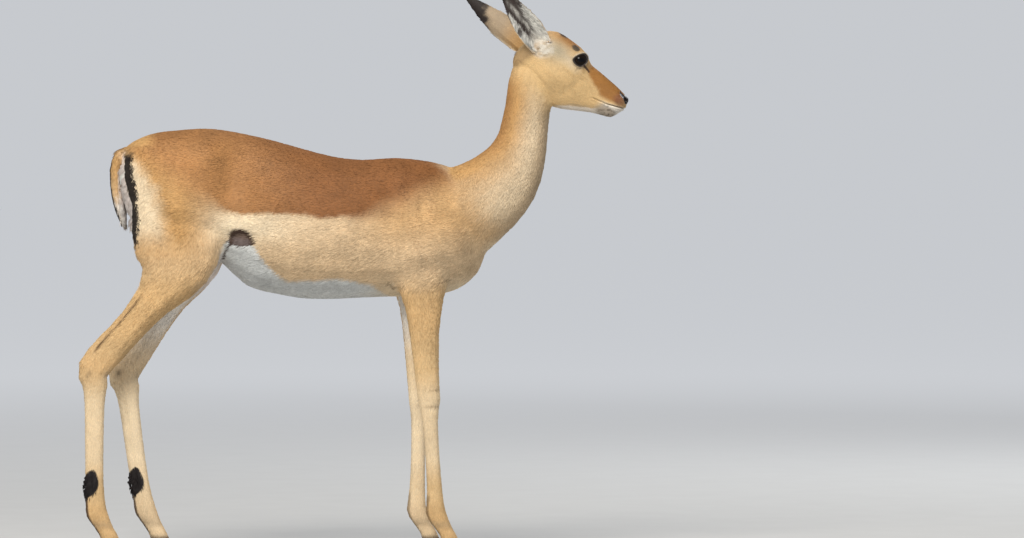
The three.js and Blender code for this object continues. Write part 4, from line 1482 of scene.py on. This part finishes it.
def eye(side, material):
    """A finer eyeball with its clear front standing out a little."""
    gaze, slit, rise = eye_axes(side)
    theta = np.linspace(0, math.pi, EYE_RINGS + 1)[1:-1]
    phi = np.linspace(0, 2 * math.pi, EYE_TURNS, endpoint=False)
    theta, phi = (grid.ravel() for grid in np.meshgrid(theta, phi, indexing="ij"))
    local = np.stack([np.sin(theta) * np.cos(phi), np.sin(theta) * np.sin(phi), np.cos(theta)], -1)
    local = np.concatenate([local, [(0, 0, 1), (0, 0, -1)]])  # the rings from front to back, and the poles
    theta = np.append(theta, [0, math.pi])
    bulge = 1 + EYE_FRONT * smooth_step(0.95, 0.2, theta) - EYE_BACK * smooth_step(1.15, 1.4, theta)
    points = EYES[side] + (local @ np.stack([slit, rise, gaze])) * (bulge * LID_RADIUS)[:, None]
    a = np.arange(EYE_TURNS)
    b = (a + 1) % EYE_TURNS
    front, back, end = len(local) - 2, len(local) - 1, (EYE_RINGS - 2) * EYE_TURNS
    faces = []
    for start in range(0, end, EYE_TURNS):
        c, d = start + EYE_TURNS + a, start + EYE_TURNS + b
        faces += [np.stack([start + a, c, d], 1), np.stack([start + a, d, start + b], 1)]
    faces += [np.stack([front + 0 * a, a, b], 1), np.stack([back + 0 * a, end + b, end + a], 1)]
    mesh = mesh_of(f"eye_{side}_fine", points, np.concatenate(faces))
    if np.linalg.det(np.stack([slit, rise, gaze])) < 0:
        mesh.flip_normals()
    layer = mesh.attributes.new("on_eye", "FLOAT_VECTOR", "POINT")
    layer.data.foreach_set("vector", local.astype(np.float32).ravel())
    mesh.materials.append(material)
    ob = add_object(f"eye_{side}_fine", mesh)
    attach(ob, "root")
    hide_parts(f"eye_{side}")


# ---------------------------------------------------------------- hooves

HORN_ROOT = 3.0 * MM  # how far a claw's horn reaches up under the skin
HOOF_VOXEL = 1.1 * MM
HOOF_ROUNDING = 36  # how many times its facets are smoothed
HOOF_FLAT = 1.0 * MM  # what lies lower than this stands on the ground
CLAWS = [
    f"{end}_claw_{side}_{place}" for end in ("fore", "hind") for side in SIDES for place in ("outer", "inner")
]


def hoof_material():
    """Dark horn with growth rings, worn paler towards the ground."""
    n = Nodes("hoof")
    place = n.place()
    rings = n.noise(n.squeezed(place, (0.15, 0.15, 1)), 420.0, 3.0)
    streaks = n.noise(n.squeezed(place, (1, 1, 0.08)), 600.0, 3.0)
    wear = n.ranged(n.add("SeparateXYZ", n0=place).outputs["Z"], 0.0, 0.012, 0.75, 0.0)
    horn = n.blended(streaks, (0.012, 0.009, 0.008), (0.052, 0.038, 0.030))
    worn = n.blended(wear, horn, (0.13, 0.10, 0.075))
    rough = n.ranged(rings, 0.3, 0.7, 0.34, 0.55)
    return n.finish(Base_Color=worn, Roughness=rough, Normal=n.bumpy(rings, 0.6, 0.0008))


def hoof(name, material):
    """A claw with its facets rounded, still flat below."""
    ob = add_object(f"{name}_fine", swollen([name], 0.0))
    rounded = ("SMOOTH", {"factor": 0.5, "iterations": HOOF_ROUNDING})
    with_modifiers(ob, ("REMESH", {"mode": "VOXEL", "voxel_size": HOOF_VOXEL}), rounded)
    points = coordinates(ob.data)
    low, high = corner(name, 0, 0, 0), corner(name, 1, 1, 1) + (0, 0, HORN_ROOT)
    middle = (points.max(0) + points.min(0)) / 2
    points = (low + high) / 2 + (points - middle) * (high - low) / np.ptp(points, axis=0)
    points[:, 2] = np.where(points[:, 2] < HOOF_FLAT, 0, points[:, 2])
    set_coordinates(ob.data, points)
    ob.data.polygons.foreach_set("use_smooth", np.ones(len(ob.data.polygons), dtype=bool))
    ob.data.materials.append(material)
    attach(ob, "root")
    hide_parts(name)


# ---------------------------------------------------------------- floor, light and camera

FLOOR_REACH = 60
LIGHTS_AIM = (0, 0, 0.7)
LIGHTS = (  # where, how wide, how strong and of what colour
    ("key", (-1.0, -4.2, 3.8), 2.4, 268, (1, 0.96, 0.90)),
    ("rim", (2.4, 3.4, 3.6), 2.5, 90, (0.92, 0.96, 1)),
)
SKY_COLOUR, SKY_STRENGTH = (0.92, 0.95, 1, 1), 0.62
VIEW_WIDTH = 2.109  # how wide the picture is where the animal stands
VIEW_MIDDLE = (0.2414, 0.5824)  # how far behind the nose and below the ears' tips the picture's middle lies
CAMERA_DISTANCE = 14.0
CAMERA_TILT = math.radians(1.2)
SENSOR_WIDTH = 36


def floor():
    """A plain pale floor, which fades to white far from the animal."""
    corners = [(x * FLOOR_REACH, y * FLOOR_REACH, 0) for x, y in ((-1, -1), (1, -1), (1, 1), (-1, 1))]
    mesh = bpy.data.meshes.new("floor")
    mesh.from_pydata(corners, [], [(0, 1, 2, 3)])
    n = Nodes("floor")
    place = n.place()
    pale = n.blended(n.noise(place, 8.0, 4.0), (0.52, 0.51, 0.49), (0.56, 0.55, 0.53))
    away = n.vector("LENGTH", place, "Value")
    far = n.ranged(away, 1.5, 11.0, 0.0, 1.0, interpolation_type="SMOOTHSTEP")
    colour = n.blended(far, pale, (1, 1, 1))
    mesh.materials.append(n.finish(Base_Color=colour, Roughness=1.0, Specular_IOR_Level=0.0))
    add_object("floor", mesh)


def light():
    """Two large soft lamps and a pale even sky."""
    for name, place, size, power, colour in LIGHTS:
        data = bpy.data.lights.new(name, "AREA")
        data.shape, data.size, data.energy, data.color = "DISK", size, power, colour
        ob = add_object(name, data)
        ob.location = place
        ob.rotation_euler = (Vector(LIGHTS_AIM) - Vector(place)).to_track_quat("-Z", "Y").to_euler()
    world = bpy.data.worlds.new("studio")
    world.use_nodes = True
    sky = world.node_tree.nodes["Background"].inputs
    sky["Color"].default_value, sky["Strength"].default_value = SKY_COLOUR, SKY_STRENGTH
    bpy.context.scene.world = world
    bpy.context.scene.view_settings.view_transform = "Standard"


def camera():
    """A long lens from the animal's right side, with the animal's head near the picture's upper edge."""
    target = Vector((CAD_BOX[1][0] - VIEW_MIDDLE[0], 0, CAD_BOX[1][2] - VIEW_MIDDLE[1]))
    data = bpy.data.cameras.new("camera")
    data.sensor_width = SENSOR_WIDTH
    data.lens = SENSOR_WIDTH * CAMERA_DISTANCE / VIEW_WIDTH
    data.clip_end = 300
    ob = add_object("camera", data)
    away = Vector((0, -math.cos(CAMERA_TILT), math.sin(CAMERA_TILT)))
    ob.location = target + CAMERA_DISTANCE * away
    ob.rotation_euler = (-away).to_track_quat("-Z", "Y").to_euler()
    bpy.context.scene.camera = ob


# ---------------------------------------------------------------- the scene

skin, skin_traits, skin_owner = skin_object()
dress_skin(skin, skin_traits)
coat(skin, skin_traits, skin_owner)
eye_finish = eye_material()
for eye_side in SIDES:
    eye(eye_side, eye_finish)
horn_finish = hoof_material()
for claw in CLAWS:
    hoof(claw, horn_finish)
floor()
light()
camera()
